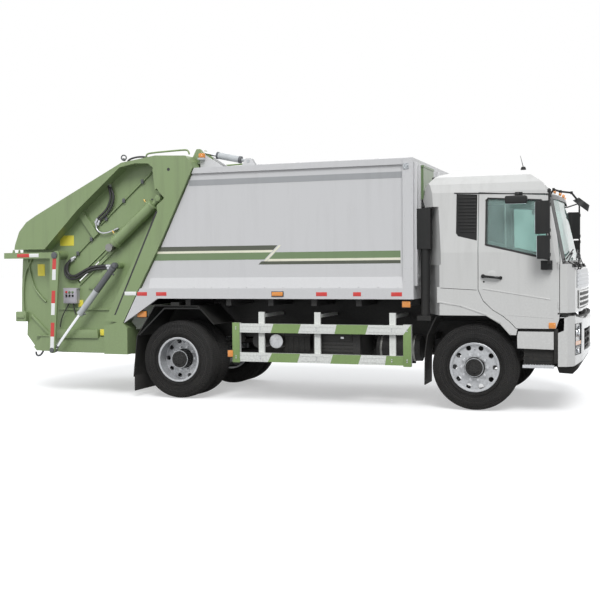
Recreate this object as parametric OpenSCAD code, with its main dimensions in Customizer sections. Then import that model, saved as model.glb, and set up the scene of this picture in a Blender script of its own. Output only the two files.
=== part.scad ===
// Rear-loading garbage truck: a compaction body on a two-axle cab-over chassis.
// +X is the front of the truck, +Y its left side, +Z up; the tyres stand on z = 0.
// Lengths are in millimetres. Pieces are placed from the front axle (x = 0 there),
// and the whole truck is then moved so that the middle of its length is the origin.

/* [Chassis] */
// Distance between the front and the rear axle
wheelbase = 3950; // [3160:10:4740]
// Width over the two frame rails
frame_w = 850; // [700:10:1000]
// Height of the top of the frame rails
frame_top = 1040; // [1000:5:1060]
// Height of a frame rail
rail_h = 250; // [200:5:300]
// Width of a rail's flanges
rail_flange = 80; // [60:5:95]
// Wall of the rails and cross members
rail_wall = 10; // [8:1:14]
// Width of a leaf spring
spring_w = 75; // [60:5:90]

/* [Wheels] */
// Diameter of a tyre
tyre_d = 1044; // [870:2:1050]
// Width of a tyre
tyre_w = 290; // [240:5:300]
// Diameter of the rim where the tyre sits
rim_d = 576; // [480:2:600]
// Distance between the middles of the front tyres
front_track = 2044; // [1980:4:2100]
// Distance between the middles of the outer rear tyres
rear_track = 2052; // [1980:4:2100]
// Distance between the middles of two twin tyres
twin_pitch = 322; // [312:2:340]
// Distance from the kingpin to the middle of a front tyre
kingpin_offset = 102; // [90:2:110]
// Radius of the kingpins
kingpin_r = 22; // [18:1:25]

/* [Body] */
// Width of the body and the tailgate
body_w = 2480; // [2300:10:2900]
// Height of the body's roof
body_top = 3055; // [2900:5:3600]
// Height of the body's floor
floor_z = 1475; // [1440:5:1500]
// Height of the sill under the side panels
sill_h = 135; // [110:5:150]
// Distance of the body's front wall behind the front axle
body_front = 720; // [720:10:900]
// Thickness of the body's walls
wall = 50; // [30:5:60]
// How far the side panels stand in from the sill
panel_inset = 45; // [30:5:60]
// Gap between the body and the tailgate
seam_gap = 14; // [10:1:20]

/* [Tailgate] */
// Height of the tailgate's hinge above the roof
hinge_rise = 145; // [130:5:160]
// Depth of the recess in each side of the tailgate
recess = 195; // [180:5:200]
// Travel of the packer slide
slide_travel = 690; // [400:10:700]
// Length of the sweep blade from its pivot to its edge
blade_len = 720; // [650:5:725]
// Radius of the packing cylinders' barrels
pack_r = 76; // [60:1:80]
// Radius of the packing cylinders' rods
pack_rod_r = 34; // [25:1:40]
// Radius of the lift cylinders' barrels
lift_r = 44; // [35:1:48]
// Radius of the lift cylinders' rods
lift_rod_r = 22; // [16:1:25]
// Radius of the pins in brackets and rod eyes
pin_r = 20; // [15:1:24]

/* [Cab] */
// Width of the cab
cab_w = 2480; // [2300:10:2600]
// Thickness of the cab's walls and doors
cab_wall = 60; // [40:2:70]
// Gap around each door
door_gap = 7; // [6:0.5:10]
// Thickness of the windows
glass_t = 6; // [5:0.5:8]
// Radius of the mirrors' tubes
mirror_tube_r = 11; // [9:1:14]
// How far the left door mirrors stand ahead of the right ones
mirror_lead = 150; // [0:10:180]

/* [Mounts] */
// Radius of the front and rear towing bores
tow_r = 22; // [18:1:26]
// Length of the towing bores
tow_len = 90; // [70:5:110]

/* [Hidden] */
$fn = 48;
// Small gap that keeps touching curved pieces apart
fit = 0.3;
// Gap between moving pieces
clear = 8;

tyre_r = tyre_d / 2;
rim_r = rim_d / 2;
front_y = front_track / 2;
rear_y = rear_track / 2;
kingpin_y = front_y - kingpin_offset;
rear_axle_x = -wheelbase;
hw = body_w / 2;
chw = cab_w / 2;
rail_y = frame_w / 2;
rail_z = frame_top - rail_h;

// Front and rear tips of the truck, from the front axle
nose_x = 1270;
hinge_x = rear_axle_x + 320;
hinge_z = body_top + hinge_rise;
tail_x = hinge_x - 2965;
axle_x = -(nose_x + tail_x) / 2;

// Seam between body and tailgate, from the tailgate's hinge
seam_top = [-20, -hinge_rise];
seam_knee = [-530, -1170];
seam_low = [-770, -1600];
seam_end = [-1090, -2195];

// Tailgate planes
side_y = hw - recess;
wall_in = side_y - wall;

// Packer slide: the blade's pivot at rest and the slide's direction, from the hinge
slide_pin = [-1229, -1315];
slide_angle = 40;
slide_dir = [-cos(slide_angle), -sin(slide_angle)];
slide_across = [-slide_dir[1], slide_dir[0]];
// Pin that the packing cylinders pull, outside the side walls
pack_pin = slide_pin - 190 * slide_across;
trough_r = blade_len + 25;
low_pin = slide_pin + slide_travel * slide_dir;
blade_rest = -92;

// Lift frame, from the hinge
lift_pin = [-2135, -1265];
lift_arm = 795;
lift_foot = [-2204, -2580];
lift_mount = [-1225, -1415];
frame_in = hw + 10;
frame_out = frame_in + 36;
lift_y = hw - 18;
pack_y = side_y + pack_r + clear;

// Radius of the tailgate's hinge tube
hinge_r = 25;
// Tailgate cylinders on the roof, from the hinge
roof_mount = [640, -62];
roof_eye = [-58, 92];
roof_y = hw - 330;

// ---------------------------------------------------------------- helpers

// Moves a piece from the front axle's frame to the truck's
module from_axle() translate([axle_x, 0, 0]) children();

// Moves a piece from the tailgate hinge's frame to the truck's
module from_hinge() translate([axle_x + hinge_x, 0, hinge_z]) children();

// The piece and its mirror image on the left
module both_sides() {
  children();
  mirror([0, 1, 0]) children();
}

// The piece, or its mirror image on the left
module on_side(left) mirror([0, left ? 1 : 0, 0]) children();

// A plate with a side-view outline, from y0 to y1
module side_plate(y0, y1, outline) {
  translate([0, y1, 0]) rotate([90, 0, 0]) linear_extrude(y1 - y0) polygon(outline);
}

// A bar with a front-view outline, from x0 to x1
module cross_plate(x0, x1, outline) {
  translate([x0, 0, 0]) rotate([90, 0, 90]) linear_extrude(x1 - x0) polygon(outline);
}

// A box from its lowest to its highest corner
module block(low, high) translate(low) cube(high - low);

// A round bar across the truck, from y0 to y1
module cross_bar(x, z, y0, y1, r) translate([x, y1, z]) rotate([90, 0, 0]) cylinder(r = r, h = y1 - y0);

// A round bar between two points
module rod_between(a, b, r) {
  d = b - a;
  length = norm(d);
  turn = atan2(d[1], d[0]);
  lean = acos(d[2] / length);
  translate(a) rotate([0, lean, turn]) cylinder(r = r, h = length);
}

// A side-view point at a height across the truck
function at_y(p, y) = [p[0], y, p[1]];

// Points of an arc in side view
function arc(centre, r, a0, a1, n) = [
  for (i = [0:n]) let (a = a0 + (a1 - a0) * i / n) [centre[0] + r * cos(a), centre[1] + r * sin(a)]
];

// An outline moved by a vector
function moved(points, by) = [for (p = points) p + by];

// A plate of the given thickness that follows a side-view line
function ribbon(points, t) = let (
    n = len(points),
    dir = [for (i = [0:n - 1]) let (
        a = points[max(i - 1, 0)],
        b = points[min(i + 1, n - 1)]
      ) (b - a) / norm(b - a)]
  ) concat(points, [for (i = [n - 1:-1:0]) points[i] + t * [-dir[i][1], dir[i][0]]]);

// ---------------------------------------------------------------- chassis

frame_front = 1020;
frame_rear = rear_axle_x - 600;

// One rail, a channel that opens inwards
module rail() {
  difference() {
    block([frame_rear, -rail_y, rail_z], [frame_front, -rail_y + rail_flange, frame_top]);
    block(
      [frame_rear - 1, -rail_y + rail_wall, rail_z + rail_wall],
      [frame_front + 1, -rail_y + rail_flange + 1, frame_top - rail_wall]
    );
  }
}

// Middle of the first cross member behind the gearbox
member_x = -1440;
members = 4;

module chassis_frame() color("#202124") from_axle() difference() {
  union() {
    both_sides() rail();
    for (x = [frame_front - 90, for (i = [0:members]) member_x + (frame_rear + 90 - member_x) * i / members])
      difference() {
        block([x - 45, -rail_y + rail_wall, rail_z + 25], [x + 45, rail_y - rail_wall, frame_top - 25]);
        block(
          [x - 45 - 1, -rail_y - 1, rail_z + 25 + rail_wall],
          [x + 45 - rail_wall, rail_y + 1, frame_top - 25 - rail_wall]
        );
      }
    // Tilt brackets of the cab, with their pins
    both_sides() {
      for (y = [tilt_y + 20, tilt_y - 38])
        side_plate(-y - 18, -y, concat(
          arc([tilt_x, tilt_z], 34, -90, 90, 12), [[frame_front - 60, frame_top - 10], [frame_front - 60, frame_top - 140], [tilt_x - 40, tilt_z - 34]]
        ));
      cross_bar(tilt_x, tilt_z, -tilt_y - 38, -tilt_y + 38, pin_r);
    }
    // Tow brackets at the front and the rear
    block([frame_front - 80, -60, rail_z + 40], [frame_front + 110, 60, rail_z + 40 + tow_len]);
    block([frame_rear - 30, -60, rail_z + 40], [frame_rear + 60, 60, rail_z + 40 + tow_len]);
  }
  for (x = [frame_front + 60, frame_rear + 10])
    translate([x, 0, rail_z]) cylinder(r = tow_r, h = rail_h);
}

// Beams between the chassis frame and the body
module subframe() color("#26282b") from_axle() {
  front = -body_front - 60;
  rear = rear_axle_x - 480;
  top = floor_z - sill_h;
  both_sides() block([rear, -rail_y, frame_top + fit], [front, -rail_y + 75, top]);
  bearers = 6;
  for (i = [0:bearers])
    let (x = front - 60 + (rear - front + 120) * i / bearers)
      both_sides() block([x - 35, -hw + 60, top - 90], [x + 35, -rail_y, top]);
}

// ---------------------------------------------------------------- axles

axle_z = tyre_r;

module front_axle() color("#1d1e20") from_axle() {
  drop = 95;
  difference() {
    union() {
      cross_plate(-45, 45, [
        [-kingpin_y, axle_z + 48], [-kingpin_y, axle_z - 48], [-700, axle_z - 48], [-580, axle_z - 50 - drop],
        [580, axle_z - 50 - drop], [700, axle_z - 48], [kingpin_y, axle_z - 48], [kingpin_y, axle_z + 48],
        [680, axle_z + 48], [560, axle_z + 50 - drop], [-560, axle_z + 50 - drop], [-680, axle_z + 48]
      ]);
      both_sides() translate([0, -kingpin_y, axle_z - 55]) cylinder(r = 46, h = 110);
    }
    both_sides() translate([0, -kingpin_y, axle_z - 60]) cylinder(r = kingpin_r + fit, h = 120);
  }
}

// A steering knuckle: fork, kingpin, stub axle and steering arm
module knuckle(left) color("#2a2b2e") from_axle() on_side(left) {
  for (z = [axle_z - 58 - 34, axle_z + 58]) {
    translate([0, -kingpin_y, z]) cylinder(r = 48, h = 34);
    block([-48, -kingpin_y - 55, z], [48, -kingpin_y, z + 34]);
  }
  translate([0, -kingpin_y, axle_z - 92]) cylinder(r = kingpin_r, h = 184);
  side_plate(-kingpin_y - 70, -kingpin_y - 50, [[-60, axle_z - 92], [60, axle_z - 92], [60, axle_z + 92], [-60, axle_z + 92]]);
  cross_bar(0, axle_z, -front_y - 62, -kingpin_y - 60, 40);
  // Steering arm to the tie rod
  translate([0, -kingpin_y, axle_z - 92]) linear_extrude(18)
    polygon([[24, -20], [24, 30], [-arm_len - 22, arm_in + 20], [-arm_len - 22, arm_in - 20], [-24, -20]]);
}

// Steering arm: its reach behind and inside of the kingpin
arm_len = 150;
arm_in = 60;
tie_z = axle_z - 92 - 6 - 15;

module tie_rod() color("#303236") from_axle() {
  y = kingpin_y - arm_in;
  cross_bar(-arm_len, tie_z, -y, y, 12);
  both_sides() translate([-arm_len, -y, tie_z - 15]) cylinder(r = 22, h = 30);
}

module rear_axle() color("#1d1e20") from_axle() translate([rear_axle_x, 0, axle_z]) {
  stub = rear_y - 62;
  rotate([90, 0, 0]) translate([0, 0, -rear_y + twin_pitch + 185]) cylinder(r = 68, h = 2 * (rear_y - twin_pitch - 185));
  rotate([90, 0, 0]) translate([0, 0, -stub]) cylinder(r = 46, h = 2 * stub);
  rotate([0, 90, 0]) translate([0, 0, -120]) cylinder(r = 185, h = 250);
  rotate([0, 90, 0]) translate([0, 0, 130]) cylinder(r = 80, h = 120);
}

// A spring pack as a shallow bow of stacked leaves
module spring(x, y, low, rise, half, thick) {
  r = (half * half + rise * rise) / (2 * rise);
  a = asin(half / r);
  side_plate(y - spring_w / 2, y + spring_w / 2, concat(
    arc([x, low + r], r, -90 - a, -90 + a, 12),
    arc([x, low + r], r - thick, -90 + a * 0.55, -90 - a * 0.55, 8)
  ));
}

front_spring_y = rail_y - 40;
rear_spring_y = rear_y - twin_pitch - tyre_w / 2 - 60;

module leaf_springs() color("#17181a") from_axle() {
  both_sides() {
    spring(0, -front_spring_y, axle_z - 45, 170, 720, 46);
    for (x = [-700, 700])
      block([x - 45, -front_spring_y - 36, axle_z + 120], [x + 45, -front_spring_y + 36, rail_z - fit]);
    spring(rear_axle_x, -rear_spring_y, axle_z + 70, 130, 640, 60);
    for (x = [-620, 620])
      block([rear_axle_x + x - 45, -rear_spring_y - 36, axle_z + 195], [rear_axle_x + x + 45, -rail_y - fit, axle_z + 330]);
  }
}

// ---------------------------------------------------------------- driveline and chassis equipment

module engine_block() color("#3a3d40") from_axle() {
  block([-720, -290, axle_z + 60], [640, 290, frame_top + 60]);
  block([-1350, -200, axle_z + 110], [-720, 200, frame_top - 60]);
}

module drive_shaft() color("#2c2e31") from_axle() {
  rod_between([-1350 - 6, 0, axle_z + 240], [rear_axle_x + 250 + 6, 0, axle_z], 45);
}

module battery_box() color("#16171a") from_axle() {
  block([-2050, -hw + 110, 640], [-1430, -rail_y - 60, 920]);
  block([-1990, -rail_y - 60, 740], [-1490, -rail_y, 860]);
}

module fuel_tank() color("#8f9396") from_axle() {
  block([-2500, rail_y + 60, 560], [-1500, hw - 110, 960]);
  for (x = [-2300, -1700]) block([x - 30, rail_y, 700], [x + 30, rail_y + 60, 900]);
}

module air_tanks() color("#b9bcbf") from_axle() {
  for (x = [-2555, -2790]) cross_bar(x, 790, -hw + 120, -rail_y, 95);
}

module exhaust_silencer() color("#202124") from_axle() {
  translate([-1300, -rail_y - 240, 700]) rotate([0, 90, 0]) cylinder(r = 165, h = 560);
  block([-1130, -rail_y - 120, 720], [-900, -rail_y, 820]);
}

// Side guards between the wheels: two rails, end posts and uprights
module side_guards() color("#dcdfdc") from_axle() both_sides() {
  rear = rear_axle_x + 835;
  front = -750;
  out = -hw;
  thick = 45;
  for (z = [530, 905]) block([rear, out, z], [front, out + thick, z + 115]);
  for (x = [rear, front - 100]) block([x, out - 6, 520], [x + 100, out + thick, 1030]);
  for (x = [rear + 345, rear + 1105, front - 285]) {
    block([x, out + thick, 530], [x + 80, out + thick + 30, 1170]);
    block([x + 15, out + thick + 30, 1100], [x + 65, -rail_y, 1140]);
  }
}

module mudguards() color("#141517") from_axle() both_sides() {
  side_plate(-front_y - 150, -front_y + 240, ribbon([
    [-595, 296], [-590, 700], [-560, 900], [-490, 1050], [-450, 1128]
  ], 12));
  block([-600, -front_y + 240, 820], [-540, -rail_y, 900]);
  translate([rear_axle_x, 0, 0]) {
    side_plate(-hw + 10, -rear_y + twin_pitch + 165, ribbon([
      [-628, 280], [-570, 830], [-300, 1236], [330, 1236], [560, 1000]
    ], 12));
    block([-60, -hw + 10, 1248], [60, -rail_y, 1290]);
  }
}

// ---------------------------------------------------------------- front end

bumper_top = 1150;
bumper_low = 566;

// Plan outline of the nose, set in by t
function nose_plan(t) = [
  [980 - t, -chw + t], [1085 - t * 0.3, -chw + 12 + t], [1165 - t * 0.7, -chw + 120 + t * 0.7], [1225 - t, -780], [1255 - t, -420], [nose_x - t, 0],
  [1255 - t, 420], [1225 - t, 780], [1165 - t * 0.7, chw - 120 - t * 0.7], [1085 - t * 0.3, chw - 12 - t], [980 - t, chw - t]
];

module nose_block(t, z0, z1) {
  translate([0, 0, z0]) linear_extrude(z1 - z0)
    polygon(concat(nose_plan(t), [[900 - t * 9, chw - t], [900 - t * 9, -chw + t]]));
}

module front_bumper() color("#d9d9d7") from_axle() difference() {
  intersection() {
    difference() {
      nose_block(0, bumper_low, bumper_top);
      nose_block(50, bumper_low - 1, bumper_top + 1);
      block([700, -chw - 1, bumper_low - 1], [980, chw + 1, bumper_top + 1]);
    }
    side_plate(-chw - 1, chw + 1, [
      [900, bumper_low], [1150, bumper_low], [1230, 605], [1290, 700], [1290, 1055], [1225, 1105], [1160, bumper_top], [1100, bumper_top],
      [1050, bumper_top - 20], [1046, 985], [980, 955], [900, 955]
    ]);
  }
  // Openings for the lamps and the lower grille
  both_sides() block([1050, -chw + 115, 690], [1300, -chw + 400, 1060]);
  block([1100, -660, 715], [1300, 660, 975]);
}

module headlights() color("#cfd4d8") from_axle() both_sides() intersection() {
  difference() {
    nose_block(8, 690 + fit, 1060 - fit);
    nose_block(48, 689, 1061);
  }
  block([1050, -chw + 115 + fit, 680], [1300, -chw + 400 - fit, 1070]);
}

module cab_steps() color("#cfcfcd") from_axle() both_sides() {
  // White panel under the door
  side_plate(-chw + 5, -chw + 65, [
    [518, 770], [930, 762], [930, 968], [526, 968], [514, 900]
  ]);
  // Step well and tread
  side_plate(-chw + 65, -chw + 95, [[585, 560], [930, 560], [930, 968], [585, 968]]);
  block([585, -chw + 10, 545], [930, -chw + 95, 572]);
  block([600, -chw + 95, 800], [900, -rail_y, 860]);
}

module air_intake() color("#1b1c1e") from_axle() {
  block([-690, -chw + 60, 1950], [-525, -chw + 190, rear_step - 16]);
  translate([-600, -chw + 125, cab_floor - 20]) cylinder(r = 55, h = 820);
  block([-690, -chw + 60, cab_floor - 70], [-520, -rail_y, cab_floor - 12]);
}

// ---------------------------------------------------------------- wheels

module tyre_ring() rotate([90, 0, 0]) rotate_extrude($fn = 96) polygon([
  [rim_r + fit, -rim_half + 16], [rim_r + 10 + fit, -rim_half + 12], [rim_r + 15, -rim_half - 1], [rim_r + 45, -tyre_w / 2 + 6], [rim_r + 95, -tyre_w / 2],
  [tyre_r - 90, -tyre_w / 2 + 2], [tyre_r - 38, -tyre_w / 2 + 14], [tyre_r - 10, -tyre_w / 2 + 30], [tyre_r, -tyre_w / 2 + 55],
  [tyre_r, tyre_w / 2 - 55], [tyre_r - 10, tyre_w / 2 - 30], [tyre_r - 38, tyre_w / 2 - 14], [tyre_r - 90, tyre_w / 2 - 2],
  [rim_r + 95, tyre_w / 2], [rim_r + 45, tyre_w / 2 - 6], [rim_r + 15, rim_half + 1], [rim_r + 10 + fit, rim_half - 12], [rim_r + fit, rim_half - 16]
]);

module tyre(x, y) translate([x, y, axle_z]) tyre_ring();

hand_holes = 10;
hand_hole_r = 31;
rim_half = tyre_w / 2 - 20;
rim_wall = 14;

// Rim barrel with its flanges, and a disc at the given place across, towards +Z
module rim(disc) difference() {
  union() {
    rotate_extrude($fn = 96) polygon([
      [rim_r - rim_wall, -rim_half], [rim_r + 10, -rim_half], [rim_r + 10, -rim_half + 10], [rim_r, -rim_half + 14],
      [rim_r, rim_half - 14], [rim_r + 10, rim_half - 10], [rim_r + 10, rim_half], [rim_r - rim_wall, rim_half]
    ]);
    translate([0, 0, disc - 14]) cylinder(r = rim_r - rim_wall + 1, h = 14, $fn = 96);
  }
  for (i = [0:hand_holes - 1])
    rotate([0, 0, i * 360 / hand_holes]) translate([0.835 * rim_r, 0, disc - 20]) cylinder(r = hand_hole_r, h = 30);
  translate([0, 0, disc - 20]) cylinder(r = 100, h = 30);
}

// Front wheel: disc near the outer face, hub and brake drum on the stub axle
module wheel_front(left) color("#c8cacc") from_axle() on_side(left) translate([0, -front_y, axle_z]) rotate([90, 0, 0]) {
  difference() {
    union() {
      rim(100);
      translate([0, 0, 64]) cylinder(r = 112, h = 92);
      translate([0, 0, -24]) cylinder(r = 200, h = 96);
    }
    translate([0, 0, -30]) cylinder(r = 40 + fit, h = 98);
  }
}

// Twin rear wheels: two rims, hub and brake drum on the axle's end
module wheel_rear(left) color("#c8cacc") from_axle() on_side(left) translate([rear_axle_x, -rear_y, axle_z]) rotate([90, 0, 0]) {
  difference() {
    union() {
      rim(-62);
      translate([0, 0, -twin_pitch]) mirror([0, 0, 1]) rim(-62 - 12);
      translate([0, 0, -twin_pitch - 60]) cylinder(r = 205, h = twin_pitch - 16);
      translate([0, 0, -80]) cylinder(r = 118, h = 170);
    }
    translate([0, 0, -twin_pitch - 70]) cylinder(r = 46 + fit, h = twin_pitch + 70 + 68);
  }
}

// ---------------------------------------------------------------- body

body_rear_edge = [
  [hinge_x + seam_top[0], body_top], [hinge_x + seam_knee[0], hinge_z + seam_knee[1]],
  [hinge_x + seam_low[0], hinge_z + seam_low[1]]
];

// Where the seam crosses a height below its lower bend
function seam_x(z) = hinge_x + seam_low[0]
  + (z - hinge_z - seam_low[1]) * (seam_end[0] - seam_low[0]) / (seam_end[1] - seam_low[1]);

module body_shell() color("#c9c9c9") from_axle() difference() {
  front = -body_front;
  sill_z = floor_z - sill_h;
  union() {
    // Box with its side panels set in
    side_plate(-hw + panel_inset, hw - panel_inset, concat(
      [[front, body_top], [front, sill_z], [seam_x(sill_z), sill_z]],
      [body_rear_edge[2], body_rear_edge[1], body_rear_edge[0]]
    ));
    both_sides() {
      // Sill, front post and top rail
      side_plate(-hw, -hw + panel_inset, [
        [front, sill_z], [front, floor_z], [seam_x(floor_z), floor_z], [seam_x(sill_z), sill_z]
      ]);
      block([front - 130, -hw, sill_z], [front, -hw + panel_inset, body_top]);
      side_plate(-hw + 20, -hw + panel_inset, [
        [front, body_top - 75], [front, body_top], [hinge_x + seam_top[0], body_top], [hinge_x + seam_top[0] - 37, body_top - 75]
      ]);
      // Slanted strip above the sill
      cross_plate(seam_x(floor_z + 140) + 60, front, [
        [-hw, floor_z], [-hw + panel_inset, floor_z + 140], [-hw + panel_inset, floor_z]
      ]);
      // Chin beside the hopper
      side_plate(-hw, -hw + 40, [
        [rear_axle_x - 250, sill_z], [seam_x(hinge_z + seam_end[1]), hinge_z + seam_end[1]], [seam_x(sill_z), sill_z]
      ]);
      // Hinge brackets for the tailgate and for its cylinders
      for (y = [roof_y + 70, roof_y - 190])
        side_plate(-y - 30, -y, [
          [hinge_x + 330, body_top], [hinge_x + 60, hinge_z + 30], [hinge_x, hinge_z + 62], [hinge_x - 40, hinge_z + 30],
          [hinge_x - 12, body_top - 90], [hinge_x + 330, body_top - 90]
        ]);
      for (y = [roof_y + 32, roof_y - 50])
        side_plate(-y - 18, -y, [
          [hinge_x + roof_mount[0] - 110, body_top], [hinge_x + roof_mount[0] - 35, hinge_z + roof_mount[1] + 38],
          [hinge_x + roof_mount[0] + 35, hinge_z + roof_mount[1] + 38], [hinge_x + roof_mount[0] + 110, body_top]
        ]);
    }
  }
  // Load space, open to the tailgate
  side_plate(-hw + panel_inset + wall, hw - panel_inset - wall, [
    [front - 60, floor_z], [front - 60, body_top - wall], [hinge_x + 400, body_top - wall],
    [hinge_x - 1500, body_top - wall], [hinge_x - 1500, floor_z]
  ]);
  both_sides() cross_bar(hinge_x, hinge_z, -roof_y - 110, -roof_y + 200, hinge_r + fit);
  both_sides() cross_bar(hinge_x + roof_mount[0], hinge_z + roof_mount[1], -roof_y - 60, -roof_y + 60, pin_r);
}

module hydraulic_tank() color("#6f8c5a") from_axle() {
  block([-body_front, -hw + 290, body_top - 490], [-body_front + 65, -hw + 890, body_top - 95]);
  block([-body_front, -hw + 280, body_top - 95], [-body_front + 72, -hw + 900, body_top - 70]);
}

module ejector_plate() color("#8a8d8a") from_axle() {
  w = hw - panel_inset - wall - clear;
  low = floor_z + clear;
  high = body_top - wall - clear;
  side_plate(-w, w, [
    [-body_front - 110, low], [-body_front - 480, low], [-body_front - 480, low + 250], [-body_front - 200, high],
    [-body_front - 160, high]
  ]);
}

// ---------------------------------------------------------------- cab

cab_rear = -600;
cab_floor = 1150;
// Height above which the cab's rear corners stand out over the air intake
rear_step = 2456;
// How far the plans of the cab reach past its side walls, which the front view sets
over = 6;
// Pivot of the tilting cab
tilt_x = 1150;
tilt_z = 980;
tilt_y = 410;

// Side view of the cab's outer shell, set in by t
function cab_side(t) = [
  [cab_rear + t, cab_floor + t], [cab_rear + t, 2440], [-640 + t, 2540], [-600 + t, 2690 - t * 0.5], [-480, 2830 - t],
  [-330, 2920 - t], [-120, 2958 - t], [350, 2930 - t], [600, 2848 - t], [785 - t * 0.6, 2722 - t], [858 - t, 2640 - t * 0.6],
  [957 - t, 2538 - t * 0.4], [1010 - t, 2240], [1076 - t, 1874], [1125 - t, 1754], [1180 - t, 1680], [1222 - t, 1520],
  [1232 - t, 1300], [1210 - t, 1190 + t], [975, 1190 + t], [975, cab_floor + t]
];

// Front view of the cab's outer shell, set in by t
function cab_front_half(t) = [
  [chw - t, cab_floor + t], [chw - t, 1900], [chw - 72 - t, 2620 - t * 0.5], [chw - 100 - t, 2720 - t * 0.6],
  [chw - 190 - t * 0.7, 2815 - t], [chw - 380, 2885 - t], [chw - 800, 2935 - t], [0, 2965 - t]
];
function cab_front(t) = concat(cab_front_half(t), [for (i = [6:-1:0]) let (p = cab_front_half(t)[i]) [-p[0], p[1]]]);

// Plan of the cab below the windshield, set in by t
function cab_plan(t) = [
  [cab_rear + t, -860], [-398 + t, -chw - over], [990 - t, -chw - over], [1085 - t * 0.6, -chw + 25 + t * 0.8],
  [1160 - t, -chw + 170], [1205 - t, -700], [1232 - t, 0],
  [1205 - t, 700], [1160 - t, chw - 170], [1085 - t * 0.6, chw - 25 - t * 0.8], [990 - t, chw + over], [-398 + t, chw + over], [cab_rear + t, 860]
];

screen_base = [1125, 1754];
screen_lean = 12.1;

// Section of the cab across the leaning windshield, set in by t
function screen_plan(t) = [
  [-1900, -chw - over], [-160 - t, -chw - over], [-105 - t, -chw + 60 + t * 0.6], [-62 - t, -chw + 250], [-22 - t, -600], [-t, 0],
  [-22 - t, 600], [-62 - t, chw - 250], [-105 - t, chw - 60 - t * 0.6], [-160 - t, chw + over], [-1900, chw + over]
];

module cab_form(t) intersection() {
  side_plate(-chw - 2 * over, chw + 2 * over, cab_side(t));
  cross_plate(-700, 1300, cab_front(t));
  union() {
    translate([0, 0, cab_floor]) linear_extrude(screen_base[1] - cab_floor) polygon(cab_plan(t));
    intersection() {
      translate([screen_base[0], 0, screen_base[1]]) rotate([0, -screen_lean, 0])
        translate([0, 0, -300]) linear_extrude(1700) polygon(screen_plan(t));
      union() {
        translate([0, 0, screen_base[1]]) linear_extrude(rear_step - screen_base[1] + t * 0.6) polygon([
          [-640 + t, -860], [-380 + t, -chw - over], [1300, -chw - over], [1300, chw + over], [-380 + t, chw + over], [-640 + t, 860]
        ]);
        translate([0, 0, rear_step + t * 0.6]) linear_extrude(900) polygon([
          [-640 + t, -1040], [-420 + t, -chw - over], [1300, -chw - over], [1300, chw + over], [-420 + t, chw + over], [-640 + t, 1040]
        ]);
      }
    }
  }
}

// Outline of a door, grown outwards by e
function door_outline(e) = [
  [64 - e, 2606 + e], [868 + e * 0.7, 2552 + e], [905 + e, 2490 + e * 0.4], [994 + e, 1826 + e * 0.1], [994 + e, 1120], [955 + e, 1004 - e],
  [506 - e * 0.3, 1004 - e], [440 - e * 0.7, 1075 - e * 0.7], [350 - e * 0.6, 1150 - e * 0.8], [230 - e * 0.5, 1222 - e * 0.8], [120 - e * 0.7, 1330 - e * 0.7], [64 - e, 1456]
];

// Outline of the glass in a door, grown outwards by e
function window_outline(e) = [
  [150 - e, 2515 + e], [180, 2540 + e], [780, 2500 + e], [828 + e * 0.5, 2455 + e * 0.6], [878 + e, 1815 - e], [150 - e, 1992 - e]
];

// Outline of the black panel behind a door, grown outwards by e
function quarter_outline(e) = [
  [-205 - e, 2600 + e], [44 + e, 2586 + e], [44 + e, 2040 - e], [-180 - e, 2095 - e], [-205 - e, 2130]
];

module cab_shell() color("#d9d9d7") from_axle() difference() {
  union() {
    difference() {
      cab_form(0);
      cab_form(cab_wall);
      // Windshield
      intersection() {
        cab_form(-5);
        translate([screen_base[0], 0, screen_base[1]]) rotate([0, -screen_lean, 0])
          cross_plate(-170, 60, screen_opening(0));
      }
    }
    // Lugs on the tilt pivot
    both_sides() difference() {
      side_plate(-tilt_y - 12, -tilt_y + 12, concat(
        arc([tilt_x, tilt_z], 36, 225, 405, 12), [[tilt_x - 174, cab_floor + 55], [tilt_x - 251, cab_floor + 30]]
      ));
      cross_bar(tilt_x, tilt_z, -tilt_y - 20, -tilt_y + 20, pin_r + fit);
    }
    // Skirts over the wheel arches
    both_sides() side_plate(-chw, -chw + cab_wall, [
      [-430, 1300], [-155, 1255], [150, 1150], [320, 1050], [430, 925], [503, 925], [560, cab_floor + 40], [-430, cab_floor + 340]
    ]);
  }
  both_sides() {
    side_plate(-chw - 10, -chw + 220, door_outline(door_gap));
    side_plate(-chw - 10, -chw + 220, quarter_outline(fit));
  }
  // Rear window
  block([cab_rear - 60, -520, 2050], [cab_rear + cab_wall + 10, 520, 2400]);
}

// Windshield opening in its leaning plane, set in by t
function screen_opening(t) = [
  [-chw + 200 + t, 40 + t], [-chw + 240 + t, 800 - t], [-chw + 290 + t, 838 - t], [chw - 290 - t, 838 - t], [chw - 240 - t, 800 - t], [chw - 200 - t, 40 + t]
];

module windshield() color("#9fb5b0") from_axle() intersection() {
  difference() {
    cab_form(12);
    cab_form(12 + glass_t);
  }
  translate([screen_base[0], 0, screen_base[1]]) rotate([0, -screen_lean, 0])
    cross_plate(-170, 60, screen_opening(fit));
}

module quarter_panels() color("#18191b") from_axle() both_sides() intersection() {
  side_plate(-chw - 10, -chw + 220, quarter_outline(0));
  difference() {
    cab_form(10);
    cab_form(50);
  }
}

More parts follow.
